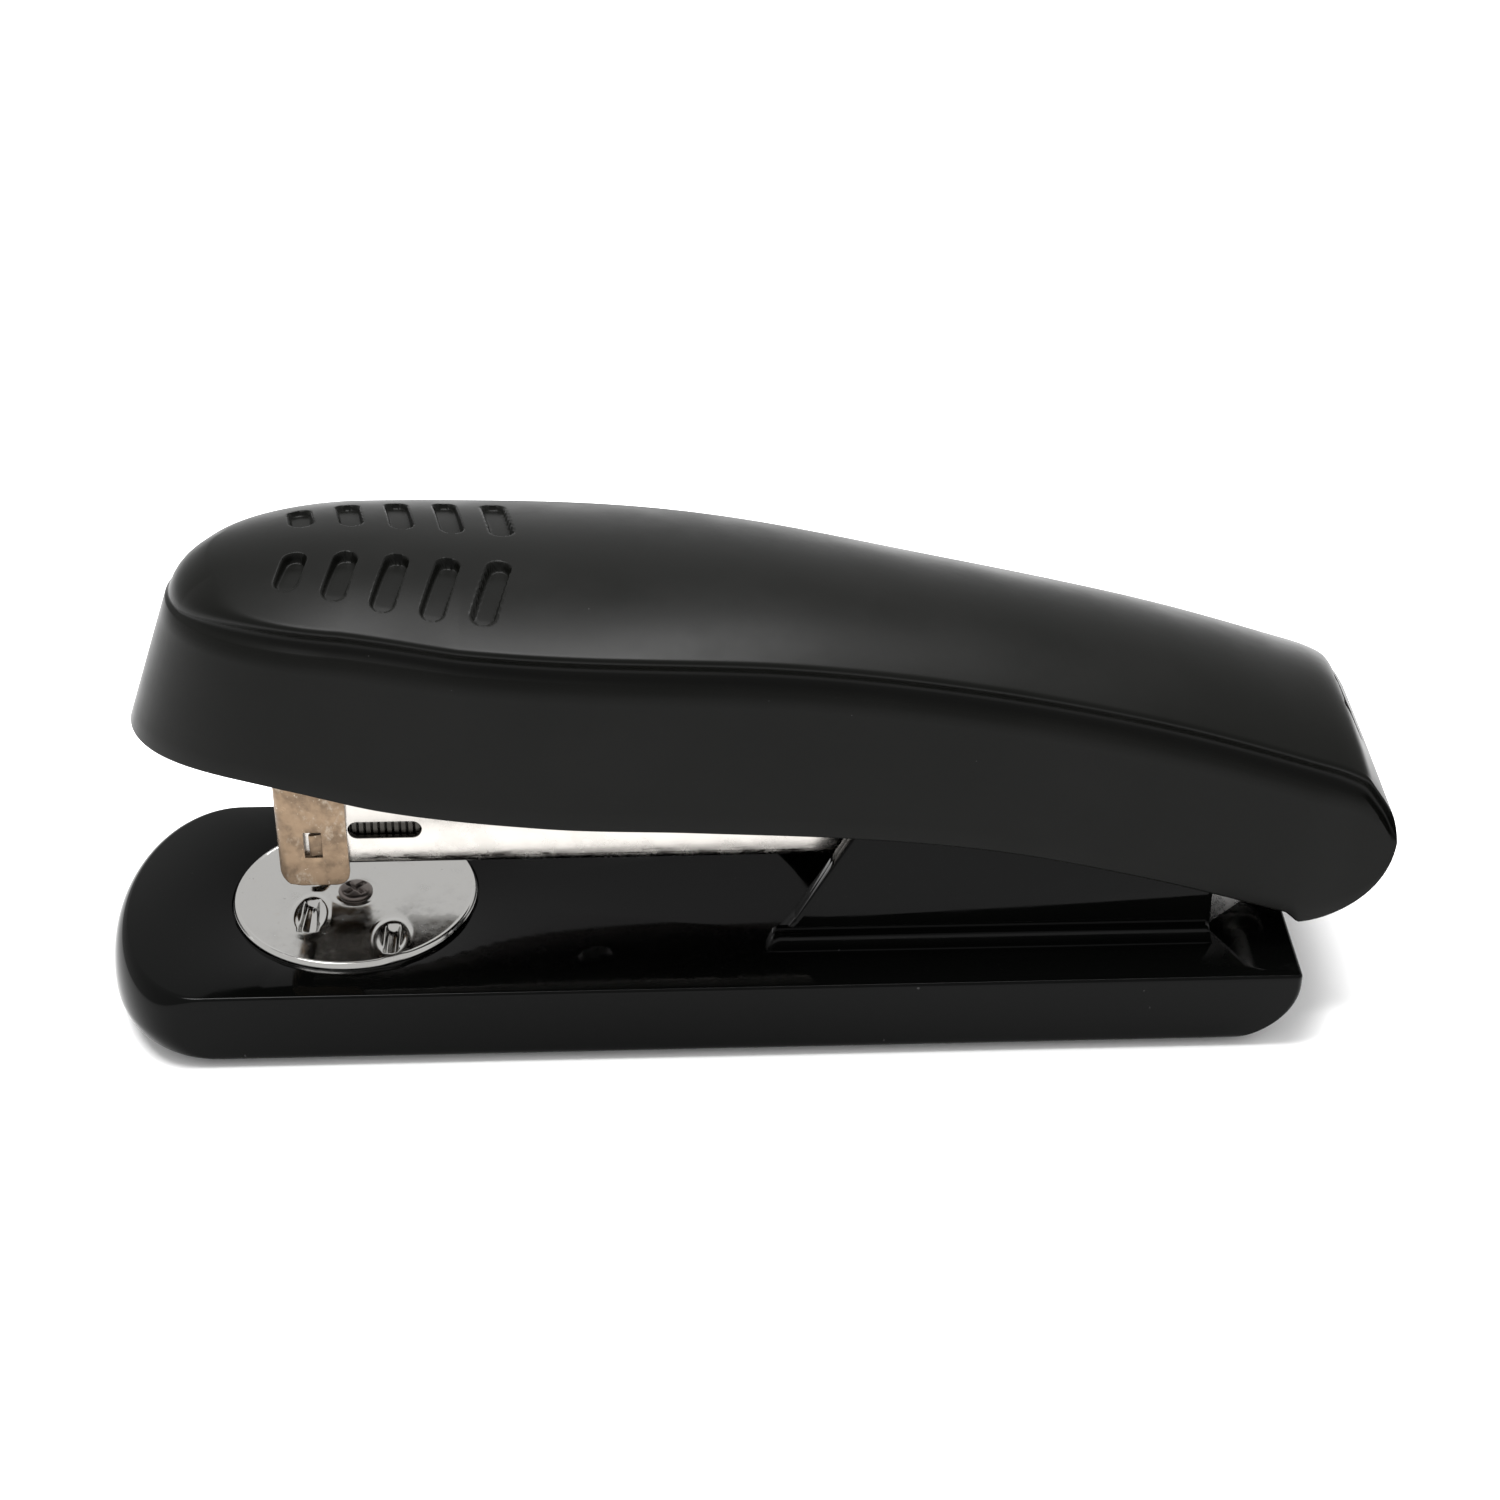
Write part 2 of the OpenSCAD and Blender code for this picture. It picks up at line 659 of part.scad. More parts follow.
module staple_rail() {
    color([0.7, 0.7, 0.7]) difference() {
        translate([0, 0, eps]) rail_shape(rail_w, rail_h);
        translate([rail_t * 2, 0, rail_t]) rail_shape(rail_w - 2 * rail_t, rail_h - 2 * rail_t);
        translate([strip_x + 6, -rod_slot_w / 2, rail_z + rail_h - 2 * rail_t])
            cube([rail_end_x - strip_x, rod_slot_w, 3 * rail_t]);
        translate([rail_x - 1, 0, rod_z]) rotate([0, 90, 0]) cylinder(h = 4, r = rod_d / 2 + 0.04);
        for (x = rivet_x) translate([x, 0, rail_z - 1]) cylinder(h = rail_t + 2, r = rivet_r + 0.05);
    }
}
module rail_rivets() {
    head_t = 0.5;
    color([0.62, 0.62, 0.63]) for (x = rivet_x) translate([x, 0, channel_z - head_t]) {
        cylinder(h = head_t + channel_t + rail_t, r = rivet_r);
        cylinder(h = head_t - 0.03, r1 = 1.4, r2 = 1.9);
    }
}
module staple_section(t) {
    w = staple_w / 2;
    top = strip_z;
    low = strip_z - staple_h;
    polygon([
        [-w, low], [-w + t, low], [-w + t, top - t], [w - t, top - t],
        [w - t, low], [w, low], [w, top], [-w, top]
    ]);
}
module along_x(x, length) {
    translate([x, 0, 0]) rotate([90, 0, 90]) linear_extrude(height = length) children();
}
module staple_strip() {
    groove = 0.12;
    color([0.66, 0.66, 0.68]) difference() {
        along_x(strip_x, strip_len) staple_section(wire_t);
        for (i = [1:staple_count - 1]) translate([strip_x + i * staple_pitch, 0, 0]) {
            for (s = [-1, 1]) translate([0, s * staple_w / 2, strip_z - staple_h / 2]) rotate(45)
                cube([groove, groove, staple_h + 2], center = true);
        }
    }
}
module pusher() {
    w = staple_w;
    low = strip_z - staple_h + 0.6;
    top = strip_z + 2.4;
    side_play = 0.15;
    boss_inset = 1;
    boss_x = pusher_x + boss_inset;
    boss_len = pusher_len - 2 * boss_inset;
    boss_r = 2.2;
    color([0.35, 0.35, 0.36]) difference() {
        union() {
            along_x(pusher_x, pusher_len) difference() {
                translate([-w / 2, low]) square([w, top - low]);
                translate([-rail_w / 2 - side_play, 0])
                    square([rail_w + 2 * side_play, rail_z + rail_h + 0.1]);
            }
            translate([boss_x, -rod_slot_w / 2 + 0.2, rod_z - 1])
                cube([boss_len, rod_slot_w - 0.4, strip_z - rod_z + 1]);
            along_x(boss_x, boss_len) translate([0, rod_z]) circle(r = boss_r);
        }
        translate([pusher_x - 1, 0, rod_z]) rotate([0, 90, 0])
            cylinder(h = pusher_len + 2, r = rod_d / 2 + 0.08);
    }
}
module pusher_rod() {
    color([0.7, 0.7, 0.72]) translate([rail_x + 0.1, 0, rod_z]) rotate([0, 90, 0])
        cylinder(h = rail_end_x - 1 - rail_x, r = rod_d / 2);
}
module pusher_spring() {
    from_x = pusher_x + pusher_len - 0.9;
    turns = 16;
    steps = 14 * turns;
    wire_r = spring_wire / 2;
    r = rod_d / 2 + wire_r + 0.25;
    path = [
        for (i = [0:steps])
        [from_x + wire_r + (spring_end_x - from_x - 2 * wire_r) * i / steps,
            r * cos(360 * turns * i / steps), rod_z + r * sin(360 * turns * i / steps)]
    ];
    color([0.78, 0.78, 0.8]) tube_along(path, wire_r, 5, [1, 0, 0]);
}
module rod_stop() {
    w = rail_w - 2 * rail_t - 0.2;
    color([0.5, 0.5, 0.52]) difference() {
        translate([spring_end_x, -w / 2, rail_z + rail_t + eps]) cube([stop_t, w, rail_h - 2 * rail_t - 0.1]);
        translate([spring_end_x - 1, 0, rod_z]) rotate([0, 90, 0]) cylinder(h = 6, r = rod_d / 2 + 0.02);
    }
}

// Handle ------------------------------------------------------------------
// One ring of the handle's outline: the points of its section at a station
function fade(x) = max(0, min(1, (handle_nose_x + 2 * handle_nose_round - x) / handle_nose_round));
function lean(x, z) = nose_slope * fade(x) * max(0, z - hinge_z - lip_rise);
crown_steps = 6;
function section(x, share, side_in, top_in) =
    let (
        zc = crease_z(x) - top_in,
        w = (side_y(x) - side_in) * share,
        dip = side_in > 0 ? 0 : groove_deep * share,
        low = hinge_z - lobe_r - 9 - side_in,
        half = [
            [w + skirt_draft, low],
            [w + skirt_draft, min(hinge_z + lip_rise, zc - groove_h - 1)],
            [w + skirt_draft, zc - groove_h],
            [w - dip, zc - groove_h * 0.45],
            [w, zc],
            for (k = [1:crown_steps])
            let (c = 1 - k / crown_steps) [w * c, zc + crown * share * (1 - c * c)]
        ],
        mirrored = [for (k = [len(half) - 2:-1:0]) [-half[k][0], half[k][1]]]
    )
    [for (q = concat(half, mirrored)) [x + lean(x, q[1]), q[0], q[1]]];
nose_steps = 10;
body_steps = 14;
nose_start = 6;
function nose_station(i, inset) =
    let (a = nose_start + (90 - nose_start) * i / nose_steps, r = handle_nose_round - inset)
    [handle_nose_x + inset + r * (1 - cos(a)), sin(a)];
function stations(inset) =
    let (
        front = [for (i = [0:nose_steps]) nose_station(i, inset)],
        x0 = handle_nose_x + handle_nose_round,
        x1 = hinge_x + lobe_r + 3 + inset,
        rest = [for (i = [1:body_steps]) [x0 + (x1 - x0) * i / body_steps, 1]]
    )
    concat(front, rest);
module handle_loft(side_in, top_in) {
    skin([for (s = stations(side_in)) section(s[0], s[1], side_in, top_in)]);
}
// Side view of the handle: the skirt's edge below, open above, and the round rear lobe
module handle_side(inset) {
    steps = 24;
    x0 = handle_nose_x - 2;
    drop = inset > 0 ? 3 : 0;
    edge = [for (i = [0:steps]) let (x = x0 + (hinge_x - x0) * i / steps) [x, skirt_z(x) - drop]];
    rear_r = lobe_r - inset;
    high = hinge_z + nose_crease + 12;
    rear_lean = 26;
    difference() {
        union() {
            polygon(concat(edge, [[hinge_x, high], [x0, high]]));
            translate([hinge_x, hinge_z]) circle(r = rear_r, $fn = 96);
            translate([hinge_x - 2, hinge_z]) square([2 + rear_r, high - hinge_z]);
        }
        translate([hinge_x, hinge_z]) rotate(rear_lean) translate([rear_r, 0]) square([60, 60]);
    }
}
module grip_slots() {
    setback = 19.3;
    tilt = 4;
    slant = 10;
    for (i = [0:slot_count - 1], s = [-1, 1]) {
        x = handle_nose_x + setback + slot_pitch * i;
        length = slot_first + (slot_last - slot_first) * sin(90 * i / max(1, slot_count - 1));
        z = crease_z(x - 7) + crown;
        translate([x, s * (slot_inner + length / 2), z - slot_deep - 0.35])
            rotate([-s * tilt, 0, 0]) linear_extrude(height = 6) rotate(90 + s * slant)
                slot2d(length, slot_w);
    }
}
cover_screw_x = [lever_x + 32, lever_end_x - 31];
cover_screw_r = 1.1;
// Height of the lever's top face along the handle
function lever_line(x) =
    x < lever_bend_x ? lever_front_z
    : lever_front_z + (lever_z + lever_t - lever_front_z) * (x - lever_bend_x) / (lever_end_x - lever_bend_x);
module handle_cover() {
    boss_r = 2.6;
    rear_slot = [lobe_r, 6.4, 3.8];
    rear_slot_rise = 7.4;
    color([0.05, 0.05, 0.055]) {
        difference() {
            intersection() {
                handle_loft(0, 0);
                across(base_w + 8) handle_side(0);
            }
            difference() {
                intersection() {
                    handle_loft(skirt_t, top_t);
                    across(base_w + 8) handle_side(skirt_t);
                }
                for (x = cover_screw_x)
                    translate([x, 0, lever_line(x - boss_r) + 0.05]) cylinder(h = 40, r = boss_r);
            }
            translate([hinge_x, -half_w + skirt_t, hinge_z - lobe_r - 5])
                cube([lobe_r + 9, 2 * (half_w - skirt_t), lobe_r + 4]);
            for (x = cover_screw_x)
                translate([x, 0, lever_line(x) - 1]) cylinder(h = 6, r = cover_screw_r + 0.05);
            grip_slots();
            translate([hinge_x + lobe_r * 0.3, -rear_slot[1] / 2, hinge_z + rear_slot_rise]) cube(rear_slot);
        }
    }
}
module lever_profile() {
    flange = 2;
    polygon([
        [lever_x, lever_front_z],
        [lever_bend_x, lever_front_z],
        [lever_end_x, lever_z + lever_t],
        [hinge_x, lever_z + lever_t],
        [hinge_x + ear_r, hinge_z + 2],
        [hinge_x + ear_r * 0.7, hinge_z - ear_r * 0.7],
        [hinge_x - ear_r, hinge_z - 1],
        [lever_end_x - 3, lever_z - 3],
        [lever_bend_x, lever_front_z - flange],
        [lever_x, lever_front_z - flange]
    ]);
    translate([hinge_x, hinge_z]) circle(r = ear_r);
}
module lever_web() {
    strip_profile([
        [lever_x, lever_front_z],
        [lever_bend_x, lever_front_z],
        [lever_end_x, lever_z + lever_t],
        [hinge_x - 1, lever_z + lever_t]
    ], lever_t);
}
blade_rivet_ahead = [8, 12];
blade_rivet_x = [for (a = blade_rivet_ahead) lever_x + a];
blade_rivet_r = 1.02;
module handle_lever() {
    color([0.74, 0.74, 0.74]) difference() {
        union() {
            plates(lever_y, lever_t) lever_profile();
            across(2 * lever_y - eps) lever_web();
        }
        on_hinge(bore_r, base_w);
        for (x = cover_screw_x) translate([x, 0, hinge_z]) cylinder(h = 60, r = cover_screw_r + 0.2);
        for (x = blade_rivet_x) translate([x, 0, hinge_z]) cylinder(h = 60, r = blade_rivet_r + 0.03);
    }
}
module cover_screws() {
    color([0.5, 0.5, 0.52]) for (x = cover_screw_x) {
        z = lever_line(x) - lever_t - 0.55;
        translate([x, 0, z]) cylinder(h = 5, r = cover_screw_r);
        translate([x, 0, z - 0.9]) cylinder(h = 0.9, r1 = 1.8, r2 = 2.2);
    }
}
// The blade is upright when it is pressed home, so it leans by the press angle at rest
module driver_blade() {
    blade_x = channel_x - blade_gap - blade_t;
    low = guide_z + 0.3;
    rest_low = hinge_z + (low - hinge_z) * cos(press_angle) + (hinge_x - blade_x) * sin(press_angle);
    flange_z = lever_front_z - lever_t - eps;
    blade_len = (flange_z - blade_t / 2 - rest_low) / cos(press_angle);
    flange_len = 11;
    flange_x = blade_x + (blade_len + low - hinge_z) * sin(press_angle);
    color([0.78, 0.78, 0.8]) difference() {
        union() {
            translate([hinge_x, 0, hinge_z]) rotate([0, press_angle, 0])
                translate([blade_x - hinge_x, -blade_w / 2, low - hinge_z])
                    cube([blade_t, blade_w, blade_len]);
            translate([flange_x, -blade_w / 2, flange_z - blade_t]) cube([flange_len, blade_w, blade_t]);
        }
        for (x = blade_rivet_x) translate([x, 0, hinge_z]) cylinder(h = 60, r = blade_rivet_r + 0.03);
    }
}
module blade_rivets() {
    z = lever_front_z - lever_t - blade_t;
    color([0.6, 0.6, 0.62]) for (x = blade_rivet_x) translate([x, 0, 0]) {
        translate([0, 0, z - seat_gap]) cylinder(h = lever_t + blade_t + 2 * seat_gap, r = blade_rivet_r);
        translate([0, 0, lever_front_z + 0.03]) cylinder(h = 0.5, r1 = 1.7, r2 = 1.2);
        translate([0, 0, z - 0.55]) cylinder(h = 0.5, r1 = 1.2, r2 = 1.7);
    }
}
module handle_spring() {
    t = 0.5;
    w = 2 * channel_y - 0.8;
    back = cover_screw_x[1] + 12;
    tip = cover_screw_x[1] - 26;
    color([0.6, 0.6, 0.58]) across(w) strip_profile([
        [tip, channel_top + 1.2],
        [tip + 2, channel_top + t + 0.08],
        [back - 22, channel_top + t + 1.2],
        [back - 3, lever_line(back - 3) - lever_t - 0.08],
        [back + 6, lever_line(back + 6) - lever_t - 0.08]
    ], t);
}

base_shell();
base_sole();
hinge_bracket();
bracket_screws();
hinge_pin();
pin_clip();
magazine_spring();
anvil_post();
anvil_button();
anvil_spring();
anvil_plate();
staple_channel();
nose_guide();
staple_rail();
rail_rivets();
staple_strip();
pusher();
pusher_rod();
pusher_spring();
rod_stop();
handle_cover();
handle_lever();
cover_screws();
driver_blade();
blade_rivets();
handle_spring();
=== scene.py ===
import json
import math

import bmesh
import bpy
import numpy as np
from mathutils import Matrix, Vector


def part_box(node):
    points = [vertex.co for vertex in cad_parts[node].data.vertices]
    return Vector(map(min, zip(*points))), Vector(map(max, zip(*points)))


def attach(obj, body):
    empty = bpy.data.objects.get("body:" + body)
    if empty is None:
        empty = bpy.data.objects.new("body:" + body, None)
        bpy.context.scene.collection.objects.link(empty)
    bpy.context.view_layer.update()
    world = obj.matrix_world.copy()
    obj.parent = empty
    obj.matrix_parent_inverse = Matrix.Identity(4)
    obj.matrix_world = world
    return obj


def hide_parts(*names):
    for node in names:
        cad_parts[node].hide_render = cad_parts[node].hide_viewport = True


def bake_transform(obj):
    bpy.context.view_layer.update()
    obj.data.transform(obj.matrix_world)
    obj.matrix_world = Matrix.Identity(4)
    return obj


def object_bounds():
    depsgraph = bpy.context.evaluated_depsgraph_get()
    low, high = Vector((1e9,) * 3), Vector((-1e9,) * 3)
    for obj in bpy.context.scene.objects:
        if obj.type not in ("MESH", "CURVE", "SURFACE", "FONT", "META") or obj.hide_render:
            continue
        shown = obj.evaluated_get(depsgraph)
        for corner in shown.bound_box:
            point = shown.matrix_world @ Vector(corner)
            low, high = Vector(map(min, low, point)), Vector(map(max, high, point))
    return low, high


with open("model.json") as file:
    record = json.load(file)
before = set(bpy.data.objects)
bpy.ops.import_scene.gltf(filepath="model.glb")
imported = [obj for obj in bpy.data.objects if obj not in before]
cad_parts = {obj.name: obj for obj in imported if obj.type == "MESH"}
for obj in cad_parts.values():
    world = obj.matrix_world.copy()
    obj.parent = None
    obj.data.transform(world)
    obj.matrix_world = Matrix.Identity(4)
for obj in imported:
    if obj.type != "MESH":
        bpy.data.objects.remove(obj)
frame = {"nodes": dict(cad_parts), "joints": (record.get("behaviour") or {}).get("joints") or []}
cad_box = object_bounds()

# Shapes are worked out in millimetres in the frame of the part, and become metres when a mesh is made.
MM = 0.001


def low(node):
    return np.array(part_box(node)[0]) / MM


def high(node):
    return np.array(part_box(node)[1]) / MM


def middle(node):
    return (low(node) + high(node)) / 2


joints = {j["name"]: j for j in frame["joints"]}
hinge_x, _, hinge_z = np.array(joints["handle_swing"]["pos_m"]) / MM
part_low = np.array(cad_box[0]) / MM


# Camera ---------------------------------------------------------------------
def add_camera():
    """The camera stands in front of the near side, above the part, and is turned a little to the rear."""
    yaw = math.radians(1.99)
    pitch = math.radians(33.15)
    distance = 312.8
    aim = np.array([1.2, 0, 27.57])
    forward = np.array([math.sin(yaw) * math.cos(pitch), math.cos(yaw) * math.cos(pitch), -math.sin(pitch)])
    data = bpy.data.cameras.new("camera")
    data.lens = 69.6
    data.sensor_width = 36
    data.clip_start = 0.01
    camera = bpy.data.objects.new("camera", data)
    camera.location = (aim - forward * distance) * MM
    camera.rotation_euler = (math.pi / 2 - pitch, 0, -yaw)
    bpy.context.scene.collection.objects.link(camera)
    bpy.context.scene.camera = camera


add_camera()


# Curves and meshes ----------------------------------------------------------
def smooth_line(points, values):
    """Height at each value of the smooth line through the points, which rise in their first number."""
    xs, ys = np.array(points, float).T
    step = np.concatenate([[xs[1] - xs[0]], xs[2:] - xs[:-2], [xs[-1] - xs[-2]]])
    rise = np.concatenate([[ys[1] - ys[0]], ys[2:] - ys[:-2], [ys[-1] - ys[-2]]])
    slope = rise / step
    v = np.clip(values, xs[0], xs[-1])
    i = np.clip(np.searchsorted(xs, v, side="right") - 1, 0, len(xs) - 2)
    w = xs[i + 1] - xs[i]
    t = (v - xs[i]) / w
    start = (2 * t**3 - 3 * t**2 + 1) * ys[i] + (t**3 - 2 * t**2 + t) * slope[i] * w
    return start + (3 * t**2 - 2 * t**3) * ys[i + 1] + (t**3 - t**2) * slope[i + 1] * w


def resample(points, shares):
    """Points at the given shares of a polyline's length."""
    p = np.array(points, float)
    run = np.concatenate([[0], np.cumsum(np.linalg.norm(np.diff(p, axis=0), axis=1))])
    at = np.array(shares) * run[-1]
    return np.stack([np.interp(at, run, p[:, k]) for k in range(p.shape[1])], axis=1)


def curve_through(points, steps=12):
    """A smooth open curve through the points."""
    p = np.array(points, float)
    p = np.vstack([2 * p[0] - p[1], p, 2 * p[-1] - p[-2]])
    out = []
    for i in range(1, len(p) - 2):
        a, b, c, d = p[i - 1], p[i], p[i + 1], p[i + 2]
        for t in np.arange(steps) / steps:
            square = (2 * a - 5 * b + 4 * c - d) * t**2
            cube = (3 * b - a - 3 * c + d) * t**3
            out.append(0.5 * (2 * b + (c - a) * t + square + cube))
    out.append(p[-2])
    return np.array(out)


def smoothstep(t):
    t = np.clip(t, 0, 1)
    return t * t * (3 - 2 * t)


def arc(cx, cy, r, start, end, steps):
    """Points on an arc, with the angles in degrees."""
    a = np.radians(np.linspace(start, end, steps + 1))
    return [(cx + r * math.cos(k), cy + r * math.sin(k)) for k in a]


def finish_mesh(mesh, sharp=35):
    """Merges what coincides, turns the faces outward and keeps edges sharper than the angle crisp."""
    bm = bmesh.new()
    bm.from_mesh(mesh)
    bmesh.ops.remove_doubles(bm, verts=bm.verts, dist=2e-6)
    bmesh.ops.dissolve_degenerate(bm, edges=bm.edges, dist=1e-7)
    bmesh.ops.recalc_face_normals(bm, faces=bm.faces)
    bm.to_mesh(mesh)
    bm.free()
    mesh.shade_smooth()
    mesh.set_sharp_from_angle(angle=math.radians(sharp))


def new_piece(name, verts, faces, sharp=35):
    """An object from points in millimetres."""
    mesh = bpy.data.meshes.new(name)
    mesh.from_pydata([tuple(v) for v in np.asarray(verts, float) * MM], [], faces)
    finish_mesh(mesh, sharp)
    piece = bpy.data.objects.new(name, mesh)
    bpy.context.scene.collection.objects.link(piece)
    return piece


def grid_faces(rows, columns, start=0, wrap=False, flip=False):
    """Quads over a grid of points that is stored row by row."""
    faces = []
    for i in range(rows - 1):
        for k in range(columns if wrap else columns - 1):
            a = start + i * columns + k
            b = start + i * columns + (k + 1) % columns
            quad = (a, b, b + columns, a + columns)
            faces.append(quad[::-1] if flip else quad)
    return faces


def bake_modifiers(piece):
    """Applies the piece's modifiers to its mesh."""
    graph = bpy.context.evaluated_depsgraph_get()
    mesh = bpy.data.meshes.new_from_object(piece.evaluated_get(graph))
    piece.modifiers.clear()
    piece.data = mesh
    finish_mesh(mesh)
    return piece


def bevel(piece, width):
    """Rounds the piece's crisp edges by a width in millimetres."""
    m = piece.modifiers.new("bevel", "BEVEL")
    m.width = width * MM
    m.segments = 2
    m.limit_method = "ANGLE"
    m.angle_limit = math.radians(40)
    return bake_modifiers(piece)


def join(name, pieces):
    """One object from several."""
    bm = bmesh.new()
    for p in pieces:
        bm.from_mesh(p.data)
        bpy.data.objects.remove(p)
    mesh = bpy.data.meshes.new(name)
    bm.to_mesh(mesh)
    bm.free()
    mesh.shade_smooth()
    mesh.set_sharp_from_angle(angle=math.radians(35))
    piece = bpy.data.objects.new(name, mesh)
    bpy.context.scene.collection.objects.link(piece)
    return piece


def plate(name, outline, y, thickness, edge, holes=()):
    """A plate with rounded edges whose outline is in the XZ plane and whose middle is at y."""
    curve = bpy.data.curves.new(name, "CURVE")
    curve.dimensions = "2D"
    curve.fill_mode = "BOTH"
    curve.extrude = thickness / 2 - edge
    curve.bevel_depth = edge
    curve.bevel_resolution = 2
    curve.offset = -edge
    for points in [outline, *holes]:
        spline = curve.splines.new("POLY")
        spline.points.add(len(points) - 1)
        spline.points.foreach_set("co", [v for p in points for v in (p[0], p[1], 0, 1)])
        spline.use_cyclic_u = True
    source = bpy.data.objects.new(name, curve)
    bpy.context.scene.collection.objects.link(source)
    graph = bpy.context.evaluated_depsgraph_get()
    mesh = bpy.data.meshes.new_from_object(source.evaluated_get(graph))
    bpy.data.objects.remove(source)
    mesh.transform(Matrix.Rotation(math.pi / 2, 4, "X"))
    mesh.transform(Matrix.Translation((0, y, 0)))
    mesh.transform(Matrix.Scale(MM, 4))
    finish_mesh(mesh)
    piece = bpy.data.objects.new(name, mesh)
    bpy.context.scene.collection.objects.link(piece)
    return piece


def tube(name, path, radius, sides, up):
    """A round wire with closed ends along a path."""
    p = np.array(path, float)
    t = np.gradient(p, axis=0)
    t /= np.linalg.norm(t, axis=1)[:, None]
    u = np.cross(np.array(up, float), t)
    u /= np.linalg.norm(u, axis=1)[:, None]
    w = np.cross(t, u)
    a = np.arange(sides) * 2 * math.pi / sides
    across = np.cos(a)[None, :, None] * u[:, None, :] + np.sin(a)[None, :, None] * w[:, None, :]
    rings = p[:, None, :] + radius * across
    faces = grid_faces(len(p), sides, wrap=True)
    faces.append(tuple(range(sides))[::-1])
    faces.append(tuple((len(p) - 1) * sides + k for k in range(sides)))
    return new_piece(name, rings.reshape(-1, 3), faces, 50)


def place(piece, body, slot, material, *nodes):
    """The piece rides on a body, takes the given material and stands for CAD nodes; the slot argument is not
    used.
    """
    piece.data.materials.clear()
    piece.data.materials.append(material)
    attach(piece, body)
    if nodes:
        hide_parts(*nodes)
    return piece


# Materials ------------------------------------------------------------------
class Finish:
    """A procedural material: its shader's own sockets hold what is even, and nodes hold what varies."""

    def __init__(self, name, colour, roughness, metallic=0.0, specular=0.5):
        self.material = bpy.data.materials.new(name)
        self.material.use_nodes = True
        self.nodes = self.material.node_tree.nodes
        self.links = self.material.node_tree.links
        self.shader = self.nodes["Principled BSDF"]
        self.shader.inputs["Base Color"].default_value = (*colour, 1)
        self.shader.inputs["Roughness"].default_value = roughness
        self.shader.inputs["Metallic"].default_value = metallic
        self.shader.inputs["Specular IOR Level"].default_value = specular
        self.where = self.nodes.new("ShaderNodeTexCoord").outputs["Object"]
        self.height = None

    def stretched(self, scale):
        """Coordinates squeezed along each axis."""
        node = self.nodes.new("ShaderNodeMapping")
        node.inputs["Scale"].default_value = scale
        self.links.new(self.where, node.inputs["Vector"])
        return node.outputs["Vector"]

    def noise(self, per_mm, detail=3, rough=0.55, scale=None):
        node = self.nodes.new("ShaderNodeTexNoise")
        node.inputs["Scale"].default_value = per_mm / MM
        node.inputs["Detail"].default_value = detail
        node.inputs["Roughness"].default_value = rough
        self.links.new(self.stretched(scale) if scale else self.where, node.inputs["Vector"])
        return node.outputs["Fac"]

    def ranged(self, value, a, b, to_a=0.0, to_b=1.0):
        node = self.nodes.new("ShaderNodeMapRange")
        node.interpolation_type = "SMOOTHSTEP"
        for key, number in (("From Min", a), ("From Max", b), ("To Min", to_a), ("To Max", to_b)):
            node.inputs[key].default_value = number
        self.links.new(value, node.inputs["Value"])
        return node.outputs["Result"]

    def product(self, a, b):
        node = self.nodes.new("ShaderNodeMath")
        node.operation = "MULTIPLY"
        self.links.new(a, node.inputs[0])
        self.links.new(b, node.inputs[1])
        return node.outputs["Value"]

    def axis(self, name):
        node = self.nodes.new("ShaderNodeSeparateXYZ")
        self.links.new(self.where, node.inputs[0])
        return node.outputs[name]

    def paint(self, mask, colour):
        """Lays a colour over the base colour where the mask is 1."""
        socket = self.shader.inputs["Base Color"]
        mix = self.nodes.new("ShaderNodeMix")
        mix.data_type = "RGBA"
        mix.inputs[6].default_value = socket.default_value
        if socket.links:
            self.links.new(socket.links[0].from_socket, mix.inputs[6])
        mix.inputs[7].default_value = (*colour, 1)
        self.links.new(mask, mix.inputs[0])
        self.links.new(mix.outputs[2], socket)
        return self

    def vary(self, value, a, b, rough_a, rough_b):
        """Roughness that follows a value."""
        self.links.new(self.ranged(value, a, b, rough_a, rough_b), self.shader.inputs["Roughness"])
        return self

    def bump(self, value, depth, strength):
        """Relief of a depth in millimetres, over what is there already."""
        node = self.nodes.new("ShaderNodeBump")
        node.inputs["Strength"].default_value = strength
        node.inputs["Distance"].default_value = depth * MM
        self.links.new(value, node.inputs["Height"])
        if self.height:
            self.links.new(self.height, node.inputs["Normal"])
        self.height = node.outputs["Normal"]
        self.links.new(self.height, self.shader.inputs["Normal"])
        return self


def satin_black():
    """Moulded handle: fine spark grain with soft mottling and a few bright dust specks."""
    f = Finish("satin_black", (0.0024, 0.0025, 0.0021), 0.4, specular=0.07)
    f.paint(f.ranged(f.noise(0.05, 4), 0.4, 0.75), (0.0034, 0.0034, 0.003))
    f.vary(f.noise(0.09, 5, 0.6), 0.3, 0.7, 0.31, 0.39)
    f.bump(f.noise(3.2, 2, 0.5), 0.006, 0.5)
    f.bump(f.noise(0.6, 3, 0.5), 0.006, 0.35)
    f.paint(f.ranged(f.noise(1.6, 1, 0.2), 0.86, 0.89), (0.06, 0.06, 0.06))
    return f.material


def gloss_black():
    """Polished base moulding: mirror gloss with finger smudges, hairlines and dust."""
    f = Finish("gloss_black", (0.0012, 0.0013, 0.0012), 0.08, specular=0.06)
    f.vary(f.noise(0.07, 6, 0.65), 0.42, 0.72, 0.05, 0.15)
    f.paint(f.ranged(f.noise(1.3, 1, 0.2), 0.84, 0.88), (0.03, 0.03, 0.03))
    f.bump(f.noise(0.12, 2, 0.4), 0.004, 0.2)
    f.bump(f.noise(1.5, 3, 0.6, (0.12, 2.2, 2.2)), 0.0012, 0.25)
    return f.material


